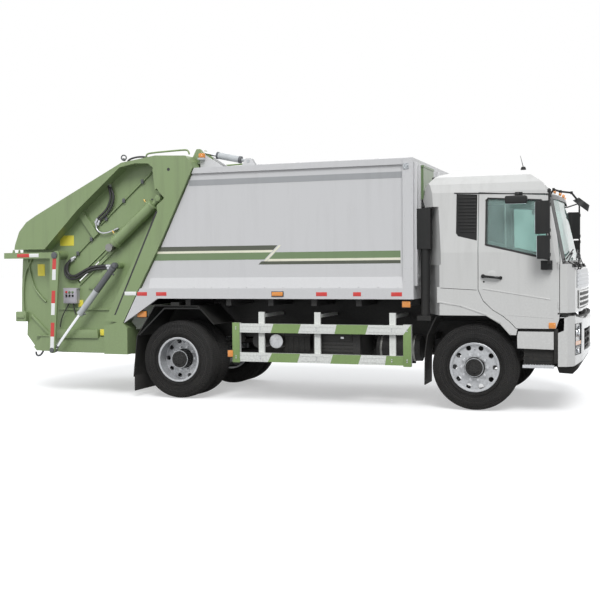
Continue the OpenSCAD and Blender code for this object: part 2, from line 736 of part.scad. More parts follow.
// Seats, dashboard and steering wheel
module cab_interior() color("#2b2c2f") from_axle() {
  floor_top = cab_floor + cab_wall + fit;
  for (y = [-620, 620]) {
    block([-300, y - 250, floor_top], [250, y + 250, floor_top + 330]);
    side_plate(y - 250, y + 250, [[-300, floor_top + 330], [-180, floor_top + 330], [-260, floor_top + 1020], [-370, floor_top + 1020]]);
  }
  block([-350, -280, floor_top], [700, 280, floor_top + 260]);
  side_plate(-chw + 150, chw - 150, [[760, floor_top], [960, floor_top], [960, 1262], [1040, 1262], [1010, 1720], [760, 1700], [720, 1560]]);
  translate([640, 620, 1690]) rotate([0, -28, 0]) {
    difference() {
      cylinder(r = 235, h = 30);
      translate([0, 0, -1]) cylinder(r = 205, h = 32);
    }
    cylinder(r = 60, h = 24);
    for (a = [90, 210, 330]) rotate([0, 0, a]) block([0, -16, 4], [215, 16, 20]);
    translate([0, 0, -150]) cylinder(r = 26, h = 160);
  }
}

// Mirror over the nose on its arched arm
module front_mirror() color("#141517") from_axle() {
  path = [[885, -chw + 130, 2570], [930, -chw - 10, 2610], [1005, -chw + 5, 2585], [1125, -chw + 50, 2570], [1205, -chw + 105, 2465]];
  for (i = [1:4]) rod_between(path[i - 1], path[i], mirror_tube_r);
  for (i = [1:3]) translate(path[i]) cylinder(r = mirror_tube_r + 4, h = 2 * mirror_tube_r + 10, center = true);
  translate([1228, -chw + 120, 2430]) rotate([0, 38, 0]) translate([0, 0, -15]) cylinder(r1 = 108, r2 = 76, h = 68);
}

// Door skin with its window cut out, and the knuckles of its hinges
module door(left) color("#d6d6d4") from_axle() on_side(left) {
  difference() {
    intersection() {
      side_plate(-chw - 1, -chw + 190, door_outline(0));
      difference() {
        union() {
          cab_form(0);
          side_plate(-chw, -chw + 200, [[400, 1000], [1000, 1000], [1000, cab_floor + 20], [200, cab_floor + 20], [200, 1150]]);
        }
        cab_form(cab_wall - 2);
        side_plate(-chw + cab_wall - 2, -chw + 220, [[0, 900], [1100, 900], [1100, 1300], [0, 1300]]);
      }
    }
    side_plate(-chw - 10, -chw + 220, window_outline(0));
  }
  for (z = [1240, 1700]) translate([985, -chw, z]) cylinder(r = 9, h = 80);
}

module door_glass(left) color("#9fb5b0") from_axle() on_side(left) intersection() {
  side_plate(-chw - 10, -chw + 220, window_outline(-fit));
  difference() {
    cab_form(14);
    cab_form(14 + glass_t);
  }
}

// Door mirrors on their tube frame, which stands further forward on the left
module mirrors(left) color("#141517") from_axle() on_side(left) {
  x = left ? 895 + mirror_lead : 895;
  y = -chw - 165;
  rod_between([895, -chw + 58, 2535], [x, y, 2598], mirror_tube_r - 2);
  rod_between([x, y, 2615], [x, y, 1755], mirror_tube_r);
  rod_between([x, y, 1775], [895, -chw - 10, 1775], mirror_tube_r - 2);
  block([x - 150, y - 45, 2100], [x + 10, y + 25, 2475]);
  block([x - 130, y - 45, 1815], [x + 10, y + 25, 2080]);
  block([792, -chw - 70, 1690], [918, -chw - 1, 1795]);
}

// ---------------------------------------------------------------- tailgate

// Outline of the tailgate's side, from its hinge
tail_top = [[-583, 40], [-1091, -33], [-2470, -714]];
tail_back = [[-2620, -800], [-2740, -930], [-2811, -1109], [-2851, -1738], [-2860, -2143]];
tail_foot = [[-2762, -2188], [-2774, -2392], [-2592, -2614], [-2173, -2627], [-1042, -2627], [-1038, -2256]];
// Front edge of the tailgate, along the seam
tail_seam = moved([seam_end, seam_low, seam_knee, seam_top], [-seam_gap, 0]);
tail_outline = concat(tail_seam, [[-70, -60], [-137, 19]], tail_top, tail_back, tail_foot);

// Trough floor from the rear lip to the body's floor
trough = concat(
  [[-2830, -2125], [-2530, -2220]],
  arc(low_pin, trough_r, 222, 280, 8),
  [[-862, floor_z - hinge_z + 2]]
);

module tailgate_shell() color("#86996f") from_hinge() {
  // Side walls with the slots for the packer's pins
  both_sides() difference() {
    side_plate(-side_y, -wall_in, tail_outline);
    pin_slot(44);
  }
  // Roof and upper back, trough and lower panels
  side_plate(-wall_in, wall_in, ribbon(concat([[-200, 14]], tail_top, [[-2620, -800], [-2740, -930], [-2811, -1109]]), wall));
  intersection() {
    side_plate(-wall_in, wall_in, ribbon(trough, -40));
    side_plate(-wall_in - 1, wall_in + 1, tail_outline);
  }
  side_plate(-wall_in, wall_in, [[-2830, -2143], [-2762, -2188], [-2774, -2392], [-2740, -2392], [-2725, -2180], [-2800, -2125]]);
  side_plate(-wall_in, wall_in, [[-1078, -2620], [-1042, -2620], [-1042, -2300], [-1078, -2300]]);
}

// Slot along the travel of the packer's pins, with half its width
module pin_slot(r) {
  low = pack_pin + slide_travel * slide_dir;
  side_plate(-side_y - 1, -wall_in + 1, [
    pack_pin + r * slide_across, pack_pin - r * slide_across, low - r * slide_across, low + r * slide_across
  ]);
  for (p = [pack_pin, low]) cross_bar(p[0], p[1], -side_y - 1, -wall_in + 1, r);
}

// Upper eye and lower end of the packing cylinders' barrels
pack_top = pack_pin - 1010 * slide_dir;
pack_low = pack_pin - 95 * slide_dir;

// Posts, arched rim and lower block that stand out of the side walls
module tailgate_sides() color("#86996f") from_hinge() both_sides() {
  difference() {
    union() {
      // Post along the seam, with its head
      side_plate(-hw, -side_y, concat(
        moved([seam_end, seam_low, seam_knee], [-seam_gap, 0]), [seam_top + [-seam_gap, 0]], [[-70, -60], [-137, 19], [-583, 40], [-620, -150]],
        [[-560, -690], [-790, -1100], [-1060, -1600], [-1389, -2162]]
      ));
      // Arched rim
      side_plate(-hw, -side_y, concat(
        tail_top, [for (i = [0:2]) tail_back[i]], [[-2826, -1180], [-2330, -1180]],
        [[-1790, -650], [-1270, -220], [-1120, -95], [-880, -50], [-690, -60], [-600, -130]]
      ));
      // Cross strap and lower block
      side_plate(-side_y - 40, -side_y, [[-1920, -655], [-1840, -595], [-1565, -975], [-1640, -1035]]);
      side_plate(-hw, -side_y, [[-1042, -2620], [-1038, -2256], [-1130, -2170], [-1400, -2240], [-1400, -2620]]);
      side_plate(-side_y - 40, -side_y, [[-1400, -2620], [-1400, -2400], [-2500, -2400], [-2640, -2560], [-2592, -2610]]);
    }
    // Channel for the packing cylinder
    side_plate(-hw - 1, -side_y + 1, [
      for (q = [[-90, 1], [-90, -1], [500, -1], [500, 1]]) pack_top + q[0] * slide_dir + q[1] * (pack_r + 10) * slide_across
    ]);
  }
  // Hinge ears
  for (y = [roof_y + 32, roof_y - 150])
    side_plate(-y - 28, -y, [[-137, -40], [-160, 20], [-100, 128], [-50, 128], [47, 31], [47, -25], [0, -50]]);
  // Tube through the ears, and pins of the cylinders
  cross_bar(0, 0, -roof_y - 110, -roof_y + 200, hinge_r);
  cross_bar(lift_pin[0], lift_pin[1], -frame_out - 8, -side_y, 30);
  cross_bar(lift_pin[0], lift_pin[1], -frame_in + clear, -side_y, 60);
  cross_bar(lift_mount[0], lift_mount[1], -lift_y - 34, -side_y, pin_r);
  cross_bar(lift_mount[0], lift_mount[1], -lift_y + 52, -side_y, 45);
}

module packing_barrels() color("#7d9566") from_hinge() both_sides() difference() {
  union() {
    rod_between(at_y(pack_top + 130 * slide_dir, -pack_y), at_y(pack_low, -pack_y), pack_r);
    cross_bar(pack_top[0], pack_top[1], -pack_y - 45, -pack_y + 45, 50);
    rod_between(at_y(pack_top, -pack_y), at_y(pack_top + 140 * slide_dir, -pack_y), 34);
    cross_bar(pack_top[0], pack_top[1], -pack_y - 60, -side_y, 30);
  }
  rod_between(at_y(pack_top + 250 * slide_dir, -pack_y), at_y(pack_low + 5 * slide_dir, -pack_y), pack_rod_r + fit);
}

slide_w = wall_in - clear;

// Slide with its plate, pins through the side slots and the rods of the packing cylinders
module packer_slide() color("#8a9a78") from_hinge() difference() {
  union() {
    side_plate(-slide_w, slide_w, [
      for (q = [[40, 74], [-60, 74], [-60, 1150], [40, 1150]]) slide_pin + q[0] * slide_across - q[1] * slide_dir
    ]);
    both_sides() {
      for (y = [slide_w, 520])
        side_plate(-y, -y + 50, concat(
          arc(slide_pin, 62, 90 + slide_angle, 270 + slide_angle, 8),
          [slide_pin + 62 * slide_across - 200 * slide_dir, slide_pin - 62 * slide_across - 200 * slide_dir]
        ));
      cross_bar(slide_pin[0], slide_pin[1], -slide_w, -slide_w + 110, 34);
      // Bracket and pin that the rods pull
      side_plate(-slide_w, -slide_w + 50, concat(
        arc(pack_pin, 60, slide_angle, 180 + slide_angle, 8),
        [slide_pin - 40 * slide_across - 80 * slide_dir, slide_pin - 40 * slide_across - 320 * slide_dir]
      ));
      cross_bar(pack_pin[0], pack_pin[1], -pack_y - 36, -slide_w + 60, 34);
      cross_bar(pack_pin[0], pack_pin[1], -pack_y - 36, -pack_y + 36, 54);
      rod_between(at_y(pack_pin, -pack_y), at_y(pack_pin - 700 * slide_dir, -pack_y), pack_rod_r);
      // Brackets of the sweep cylinders
      for (dy = [-48, 30])
        side_plate(-sweep_y + dy, -sweep_y + dy + 18, [
          for (q = [[-60, 125], [60, 125], [50, -40], [-50, -40]]) sweep_mount - q[0] * slide_dir + q[1] * slide_across
        ]);
    }
  }
  both_sides() cross_bar(sweep_mount[0], sweep_mount[1], -sweep_y - 60, -sweep_y + 60, pin_r);
}

sweep_y = 400;
sweep_mount = slide_pin - 905 * slide_dir - 170 * slide_across;
sweep_lever = 220;
sweep_eye = slide_pin + sweep_lever * [cos(190), sin(190)];

module sweep_blade() color("#8a9a78") from_hinge() {
  dir = [cos(blade_rest), sin(blade_rest)];
  across = [-dir[1], dir[0]];
  difference() {
    union() {
      side_plate(-slide_w, slide_w, [
        slide_pin + 70 * dir + 30 * across, slide_pin + 70 * dir - 50 * across,
        slide_pin + (blade_len - 60) * dir - 50 * across, slide_pin + blade_len * dir, slide_pin + (blade_len - 10) * dir + 30 * across
      ]);
      both_sides() for (y = [slide_w - 58, 460, 350])
        side_plate(-y, -y + 40, concat(
          arc(slide_pin, 60, 10, 190, 8), [slide_pin + 120 * dir - 50 * across, slide_pin + 120 * dir + 30 * across]
        ));
      // Levers of the sweep cylinders
      both_sides() for (y = [sweep_y + 30, sweep_y - 58])
        side_plate(-y - 28, -y, concat(
          arc(sweep_eye, 44, 100, 280, 8), [slide_pin + 260 * dir - 50 * across, slide_pin + 80 * dir - 20 * across, slide_pin]
        ));
    }
    cross_bar(slide_pin[0], slide_pin[1], -slide_w - 1, slide_w + 1, 34 + fit);
  }
}

module sweep_barrels() color("#55585a") from_hinge() both_sides() difference() {
  d = (sweep_eye - sweep_mount) / norm(sweep_eye - sweep_mount);
  union() {
    rod_between(at_y(sweep_mount + 60 * d, -sweep_y), at_y(sweep_mount + 680 * d, -sweep_y), 55);
    cross_bar(sweep_mount[0], sweep_mount[1], -sweep_y - 24, -sweep_y + 24, 42);
    rod_between(at_y(sweep_mount + 20 * d, -sweep_y), at_y(sweep_mount + 70 * d, -sweep_y), 20);
    cross_bar(sweep_mount[0], sweep_mount[1], -sweep_y - 48, -sweep_y + 48, pin_r - fit);
  }
  rod_between(at_y(sweep_mount + 200 * d, -sweep_y), at_y(sweep_mount + 690 * d, -sweep_y), 28 + fit);
}

module sweep_rods() color("#c4c7c9") from_hinge() both_sides() {
  d = (sweep_eye - sweep_mount) / norm(sweep_eye - sweep_mount);
  rod_between(at_y(sweep_mount + 540 * d, -sweep_y), at_y(sweep_eye - 20 * d, -sweep_y), 28);
  cross_bar(sweep_eye[0], sweep_eye[1], -sweep_y - 22, -sweep_y + 22, 36);
}

// Bin lift: an angled arm on each side and the hooking bar across the rear
module lift_frame() color("#7d9566") from_hinge() {
  tip = lift_pin - [lift_arm, 0];
  both_sides() difference() {
    union() {
      side_plate(-frame_out, -frame_in, [
        lift_pin + [69, 42], tip + [-35, 40], tip + [-35, -40], lift_pin + [-74, -42],
        lift_foot + [-44, 0], lift_foot + [44, 0], lift_pin + [69, -42]
      ]);
      cross_bar(lift_foot[0], lift_foot[1], -frame_out, -frame_in, 44);
      cross_bar(lift_foot[0], lift_foot[1], -frame_in, -lift_y - 22, pin_r);
    }
    cross_bar(lift_pin[0], lift_pin[1], -frame_out - 1, -frame_in + 1, 30 + fit);
  }
  cross_bar(tip[0], tip[1], -frame_in, frame_in, 32);
}

module lift_barrels() color("#4a4c50") from_hinge() both_sides() difference() {
  d = (lift_foot - lift_mount) / norm(lift_foot - lift_mount);
  union() {
    rod_between(at_y(lift_mount + 32 * d, -lift_y), at_y(lift_mount + 860 * d, -lift_y), lift_r);
    cross_bar(lift_mount[0], lift_mount[1], -lift_y - 26, -lift_y + 26, 42);
  }
  cross_bar(lift_mount[0], lift_mount[1], -lift_y - 40, -lift_y + 40, pin_r + fit);
  rod_between(at_y(lift_mount + 120 * d, -lift_y), at_y(lift_mount + 870 * d, -lift_y), lift_rod_r + fit);
}

module lift_rods() color("#c4c7c9") from_hinge() both_sides() {
  d = (lift_foot - lift_mount) / norm(lift_foot - lift_mount);
  rod_between(at_y(lift_mount + 150 * d, -lift_y), at_y(lift_foot - 30 * d, -lift_y), lift_rod_r);
  cross_bar(lift_foot[0], lift_foot[1], -lift_y - 18, -lift_y + 18, 38);
}

module roof_barrels() color("#8f9396") from_hinge() both_sides() difference() {
  d = (roof_eye - roof_mount) / norm(roof_eye - roof_mount);
  union() {
    rod_between(at_y(roof_mount + 120 * d, -roof_y), at_y(roof_mount + 470 * d, -roof_y), 44);
    rod_between(at_y(roof_mount + 20 * d, -roof_y), at_y(roof_mount + 125 * d, -roof_y), 20);
    cross_bar(roof_mount[0], roof_mount[1], -roof_y - 24, -roof_y + 24, 36);
    cross_bar(roof_mount[0], roof_mount[1], -roof_y - 56, -roof_y + 56, pin_r - fit);
  }
  rod_between(at_y(roof_mount + 130 * d, -roof_y), at_y(roof_mount + 480 * d, -roof_y), 22 + fit);
}

module roof_rods() color("#c4c7c9") from_hinge() both_sides() {
  d = (roof_eye - roof_mount) / norm(roof_eye - roof_mount);
  rod_between(at_y(roof_mount + 275 * d, -roof_y), at_y(roof_eye - 20 * d, -roof_y), 22);
  cross_bar(roof_eye[0], roof_eye[1], -roof_y - 22, -roof_y + 22, 34);
}

module rear_lamps() color("#b3261e") from_hinge() both_sides()
  block([-2810, -wall_in + 60, -2370], [-2774, -wall_in + 420, -2250]);

module control_box() color("#a9a6ab") from_hinge() {
  block([-2108, -side_y - 80, -1935], [-1896, -side_y, -1726]);
}

// ---------------------------------------------------------------- drawing

chassis_frame();
subframe();
front_axle();
rear_axle();
leaf_springs();
engine_block();
drive_shaft();
battery_box();
fuel_tank();
air_tanks();
exhaust_silencer();
side_guards();
mudguards();
front_bumper();
headlights();
cab_steps();
air_intake();
knuckle(false);  // knuckle_right
knuckle(true);  // knuckle_left
tie_rod();
wheel_front(false);  // wheel_front_right
wheel_front(true);  // wheel_front_left
wheel_rear(false);  // wheel_rear_right
wheel_rear(true);  // wheel_rear_left
color("#2a2b2d") from_axle() tyre(0, -front_y);  // tyre_front_right
color("#2a2b2d") from_axle() tyre(0, front_y);  // tyre_front_left
color("#2a2b2d") from_axle()  // tyres_rear_right
  for (y = [rear_y, rear_y - twin_pitch]) tyre(rear_axle_x, -y);
color("#2a2b2d") from_axle()  // tyres_rear_left
  for (y = [rear_y, rear_y - twin_pitch]) tyre(rear_axle_x, y);
body_shell();
hydraulic_tank();
ejector_plate();
cab_shell();
windshield();
quarter_panels();
cab_interior();
front_mirror();
door(false);  // door_right
door(true);  // door_left
door_glass(false);  // door_glass_right
door_glass(true);  // door_glass_left
mirrors(false);  // mirrors_right
mirrors(true);  // mirrors_left
tailgate_shell();
tailgate_sides();
packing_barrels();
packer_slide();
sweep_blade();
sweep_barrels();
sweep_rods();
lift_frame();
lift_barrels();
lift_rods();
roof_barrels();
roof_rods();
rear_lamps();
control_box();
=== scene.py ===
"""Rear-loading garbage truck: finishes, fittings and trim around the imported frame."""

import math

import bpy
from bpy.props import FloatProperty, FloatVectorProperty, IntProperty, PointerProperty
from mathutils import Matrix, Vector


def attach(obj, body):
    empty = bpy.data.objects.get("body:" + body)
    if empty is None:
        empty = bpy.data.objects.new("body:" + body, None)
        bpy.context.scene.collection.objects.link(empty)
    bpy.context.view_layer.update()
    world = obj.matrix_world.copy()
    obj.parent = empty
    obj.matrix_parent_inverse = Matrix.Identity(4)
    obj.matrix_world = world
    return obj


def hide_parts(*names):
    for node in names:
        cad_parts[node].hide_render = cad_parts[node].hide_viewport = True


bl_info = {
    "name": "Garbage truck",
    "version": (1, 0, 0),
    "blender": (4, 5, 0),
    "location": "View3D > Sidebar > Garbage truck",
    "description": "Finishes, fittings and trim of a rear-loading garbage truck",
    "category": "Object",
}

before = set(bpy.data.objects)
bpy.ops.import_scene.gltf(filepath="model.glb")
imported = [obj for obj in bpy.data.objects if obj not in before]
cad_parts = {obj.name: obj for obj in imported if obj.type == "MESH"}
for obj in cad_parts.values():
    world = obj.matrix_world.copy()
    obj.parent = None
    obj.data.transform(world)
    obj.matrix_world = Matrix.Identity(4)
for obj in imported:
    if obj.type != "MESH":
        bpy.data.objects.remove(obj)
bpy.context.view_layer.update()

# Places along the truck, in metres from the middle of its length
FRONT_AXLE = 2.6625
REAR_AXLE = FRONT_AXLE - 3.95
AXLE_HEIGHT = 0.522
HINGE = (FRONT_AXLE - 3.63, 3.2)
BODY_SIDE = 1.24
PANEL_SIDE = 1.195
SLEEVE = 0.0015  # how far tape and stripes stand off a panel
BODY_ROOF = 3.0555
POST_FACE = -1.2385  # just inside the face of the tailgate's slanted post
BAR_SIDES = 14
DOORS = ("door_right", "door_left")
LEFT_MIRROR_LEAD = 0.150  # the left mirrors stand further forward


def tone(red, green, blue):
    """A screen colour of 0 to 255 as a linear colour."""

    def channel(value):
        share = value / 255
        return share / 12.92 if share <= 0.04045 else ((share + 0.055) / 1.055) ** 2.4

    return (channel(red), channel(green), channel(blue))


def colour_property(name, description, default):
    return FloatVectorProperty(
        name=name, description=description, subtype="COLOR", size=3, min=0, max=1, default=default
    )


def length_property(name, description, default):
    return FloatProperty(
        name=name, description=description, subtype="DISTANCE", unit="LENGTH", min=0, default=default
    )


class TRUCK_PG_colours(bpy.types.PropertyGroup):
    """Colours of the truck."""

    cab: colour_property("Cab", "Paint of the cab, doors and bumper", tone(193, 193, 191))
    body: colour_property("Body", "Paint of the load body", tone(194, 194, 195))
    tailgate: colour_property("Tailgate", "Paint of the tailgate", tone(123, 143, 97))
    stripe: colour_property("Stripe", "Middle green of the stripes", tone(98, 122, 80))
    stripe_dark: colour_property("Dark stripe", "Dark green of the stripes", tone(60, 66, 50))
    stripe_pale: colour_property("Pale stripe", "Cream line beside the stripes", tone(222, 220, 200))
    guard: colour_property("Guard", "Green of the side guards", tone(116, 144, 82))
    chassis: colour_property("Chassis", "Paint of the frame and axles", tone(24, 25, 27))
    rubber: colour_property("Rubber", "Tyres, hoses and seals", tone(28, 28, 30))
    wheel: colour_property("Wheel", "Paint of the wheels", tone(180, 182, 185))
    red: colour_property("Red", "Red of tape and lamps", tone(196, 36, 30))
    amber: colour_property("Amber", "Amber of side lamps", tone(214, 132, 38))
    yellow: colour_property("Yellow", "Blank plates on the tailgate", tone(226, 212, 62))
    glass: colour_property("Glass", "Tint of the cab's glass", tone(196, 226, 220))


class TRUCK_PG_sizes(bpy.types.PropertyGroup):
    """Sizes of the trim."""

    tape_width: length_property("Tape width", "Width of the reflective tape", 0.05)
    nut_size: length_property("Wheel nut", "Width of a wheel nut across its flats", 0.033)
    tread_depth: length_property("Tread depth", "Depth of the tyres' grooves", 0.011)
    tread_steps: IntProperty(name="Tread steps", description="Blocks round a tyre", default=60, min=24, max=90)
    hose: length_property("Hose", "Diameter of the large hydraulic hoses", 0.036)


# ---------------------------------------------------------------- materials


def socket(tree, name, direction, kind, value=None):
    made = tree.interface.new_socket(name=name, in_out=direction, socket_type=kind)
    if value is not None:
        made.default_value = value


def node(tree, kind, place=(0, 0), **values):
    made = tree.nodes.new(kind)
    made.location = place
    for key, value in values.items():
        if key.startswith("in_"):
            made.inputs[int(key[3:])].default_value = value
        else:
            setattr(made, key, value)
    return made


def weathering_group():
    """Colour, roughness and normal of a painted surface with dirt, fading and a fine ripple."""
    tree = bpy.data.node_groups.new("weathering", "ShaderNodeTree")
    socket(tree, "Color", "INPUT", "NodeSocketColor", (0.5, 0.5, 0.5, 1))
    for name, value in (("Dirt", 0.3), ("Gloss", 0.35), ("Ripple", 0.05), ("Fade", 0.1), ("Splash", 0.4)):
        socket(tree, name, "INPUT", "NodeSocketFloat", value)
    socket(tree, "Color", "OUTPUT", "NodeSocketColor")
    socket(tree, "Roughness", "OUTPUT", "NodeSocketFloat")
    socket(tree, "Normal", "OUTPUT", "NodeSocketVector")
    link = tree.links.new
    given, out = node(tree, "NodeGroupInput", (-900, 0)), node(tree, "NodeGroupOutput", (900, 0))
    place = node(tree, "ShaderNodeTexCoord", (-1300, 0))
    runs = node(tree, "ShaderNodeMapping", (-1100, -200))
    runs.inputs["Scale"].default_value = (9.0, 9.0, 0.9)
    link(place.outputs["Object"], runs.inputs["Vector"])

    def noise(scale, detail, source, row, roughness=0.5):
        made = node(tree, "ShaderNodeTexNoise", (-900, row))
        for name, value in (("Scale", scale), ("Detail", detail), ("Roughness", roughness)):
            made.inputs[name].default_value = value
        link(source, made.inputs["Vector"])
        return made.outputs[0]

    streak = noise(1.0, 5.0, runs.outputs["Vector"], -250, 0.65)
    cloud = noise(1.7, 6.0, place.outputs["Object"], -500)
    speck = noise(46.0, 4.0, place.outputs["Object"], -750)
    height = node(tree, "ShaderNodeSeparateXYZ", (-900, 300))
    link(place.outputs["Object"], height.inputs["Vector"])
    low = node(tree, "ShaderNodeMapRange", (-700, 300), clamp=True)
    for index, value in ((1, 0.3), (2, 1.9), (3, 1.0), (4, 0.0)):
        low.inputs[index].default_value = value
    link(height.outputs["Z"], low.inputs[0])

    def ramp(source, start, end, place):
        made = node(tree, "ShaderNodeMapRange", place, clamp=True)
        made.inputs[1].default_value, made.inputs[2].default_value = start, end
        link(source, made.inputs[0])
        return made.outputs[0]

    def maths(kind, first, second, place):
        made = node(tree, "ShaderNodeMath", place, operation=kind)
        for index, value in enumerate((first, second)):
            if hasattr(value, "is_linked"):
                link(value, made.inputs[index])
            else:
                made.inputs[index].default_value = value
        return made.outputs[0]

    stain = ramp(streak, 0.48, 0.78, (-500, -250))
    dirt = maths("MULTIPLY", stain, given.outputs["Dirt"], (-300, -250))
    splash_speck = ramp(speck, 0.35, 0.7, (-500, -750))
    splash = maths("MULTIPLY", low.outputs[0], splash_speck, (-300, 200))
    splash = maths("MULTIPLY", splash, given.outputs["Splash"], (-100, 200))
    total = maths("MAXIMUM", dirt, splash, (100, 0))
    fade = maths("MULTIPLY", cloud, given.outputs["Fade"], (-300, -500))

    def mix(first, second, share, place, blend="MIX"):
        made = node(tree, "ShaderNodeMix", place, data_type="RGBA", blend_type=blend, clamp_factor=True)
        link(share, made.inputs["Factor"])
        for name, value in (("A", first), ("B", second)):
            target = [s for s in made.inputs if s.name == name and s.type == "RGBA"][0]
            if hasattr(value, "is_linked"):
                link(value, target)
            else:
                target.default_value = value
        return [s for s in made.outputs if s.type == "RGBA"][0]

    faded = mix(given.outputs["Color"], (0.62, 0.61, 0.58, 1), fade, (100, 300))
    dirty = mix(faded, (0.085, 0.075, 0.06, 1), total, (400, 200))
    link(dirty, out.inputs["Color"])
    rough = maths("MULTIPLY", total, 0.5, (300, -100))
    rough = maths("ADD", rough, given.outputs["Gloss"], (500, -100))
    rough = maths("MINIMUM", rough, 0.95, (700, -100))
    link(rough, out.inputs["Roughness"])
    bump = node(tree, "ShaderNodeBump", (600, -400))
    bump.inputs["Distance"].default_value = 0.004
    link(given.outputs["Ripple"], bump.inputs["Strength"])
    link(speck, bump.inputs["Height"])
    link(bump.outputs[0], out.inputs["Normal"])
    return tree


GROUPS = {}
FINISHES = {}


def finish_of(name, colour, dirt=0.25, gloss=0.35, ripple=0.04, fade=0.08, splash=0.3, **sockets):
    """A material on the shared weathering group. Extra arguments set the shader's own sockets."""
    material = bpy.data.materials.new(name)
    material.use_nodes = True
    tree = material.node_tree
    shader = tree.nodes["Principled BSDF"]
    if "weathering" not in GROUPS:
        GROUPS["weathering"] = weathering_group()
    group = node(tree, "ShaderNodeGroup", (-300, 200), node_tree=GROUPS["weathering"])
    group.inputs["Color"].default_value = (*colour, 1)
    for key, value in (("Dirt", dirt), ("Gloss", gloss), ("Ripple", ripple), ("Fade", fade),
            ("Splash", splash)):
        group.inputs[key].default_value = value
    for output, entry in (("Color", "Base Color"), ("Roughness", "Roughness"), ("Normal", "Normal")):
        tree.links.new(group.outputs[output], shader.inputs[entry])
    for key, value in sockets.items():
        shader.inputs[key.replace("_", " ")].default_value = value
    FINISHES[name] = material
    return material


def lamp_finish(name, colour, glow=0.0, clear=0.0):
    """Ribbed lens of a lamp."""
    material = finish_of(name, colour, dirt=0.05, gloss=0.12, ripple=0.0, fade=0.0, splash=0.1)
    tree = material.node_tree
    shader = tree.nodes["Principled BSDF"]
    shader.inputs["Transmission Weight"].default_value = clear
    shader.inputs["Coat Weight"].default_value = 0.6
    shader.inputs["Emission Color"].default_value = (*colour, 1)
    shader.inputs["Emission Strength"].default_value = glow
    place = node(tree, "ShaderNodeTexCoord", (-1000, -300))
    ribs = node(tree, "ShaderNodeTexWave", (-800, -300), wave_type="BANDS", bands_direction="Z")
    ribs.inputs["Scale"].default_value = 26.0
    bump = node(tree, "ShaderNodeBump", (-500, -300))
    bump.inputs["Strength"].default_value = 0.5
    bump.inputs["Distance"].default_value = 0.003
    tree.links.new(place.outputs["Object"], ribs.inputs["Vector"])
    tree.links.new(ribs.outputs["Fac"], bump.inputs["Height"])
    tree.links.new(bump.outputs[0], shader.inputs["Normal"])
    return material


def glass_finish(name, colour):
    material = finish_of(name, colour, dirt=0.04, gloss=0.02, ripple=0.0, fade=0.0, splash=0.02)
    shader = material.node_tree.nodes["Principled BSDF"]
    shader.inputs["Transmission Weight"].default_value = 0.82
    shader.inputs["IOR"].default_value = 1.45
    shader.inputs["Specular IOR Level"].default_value = 0.7
    return material


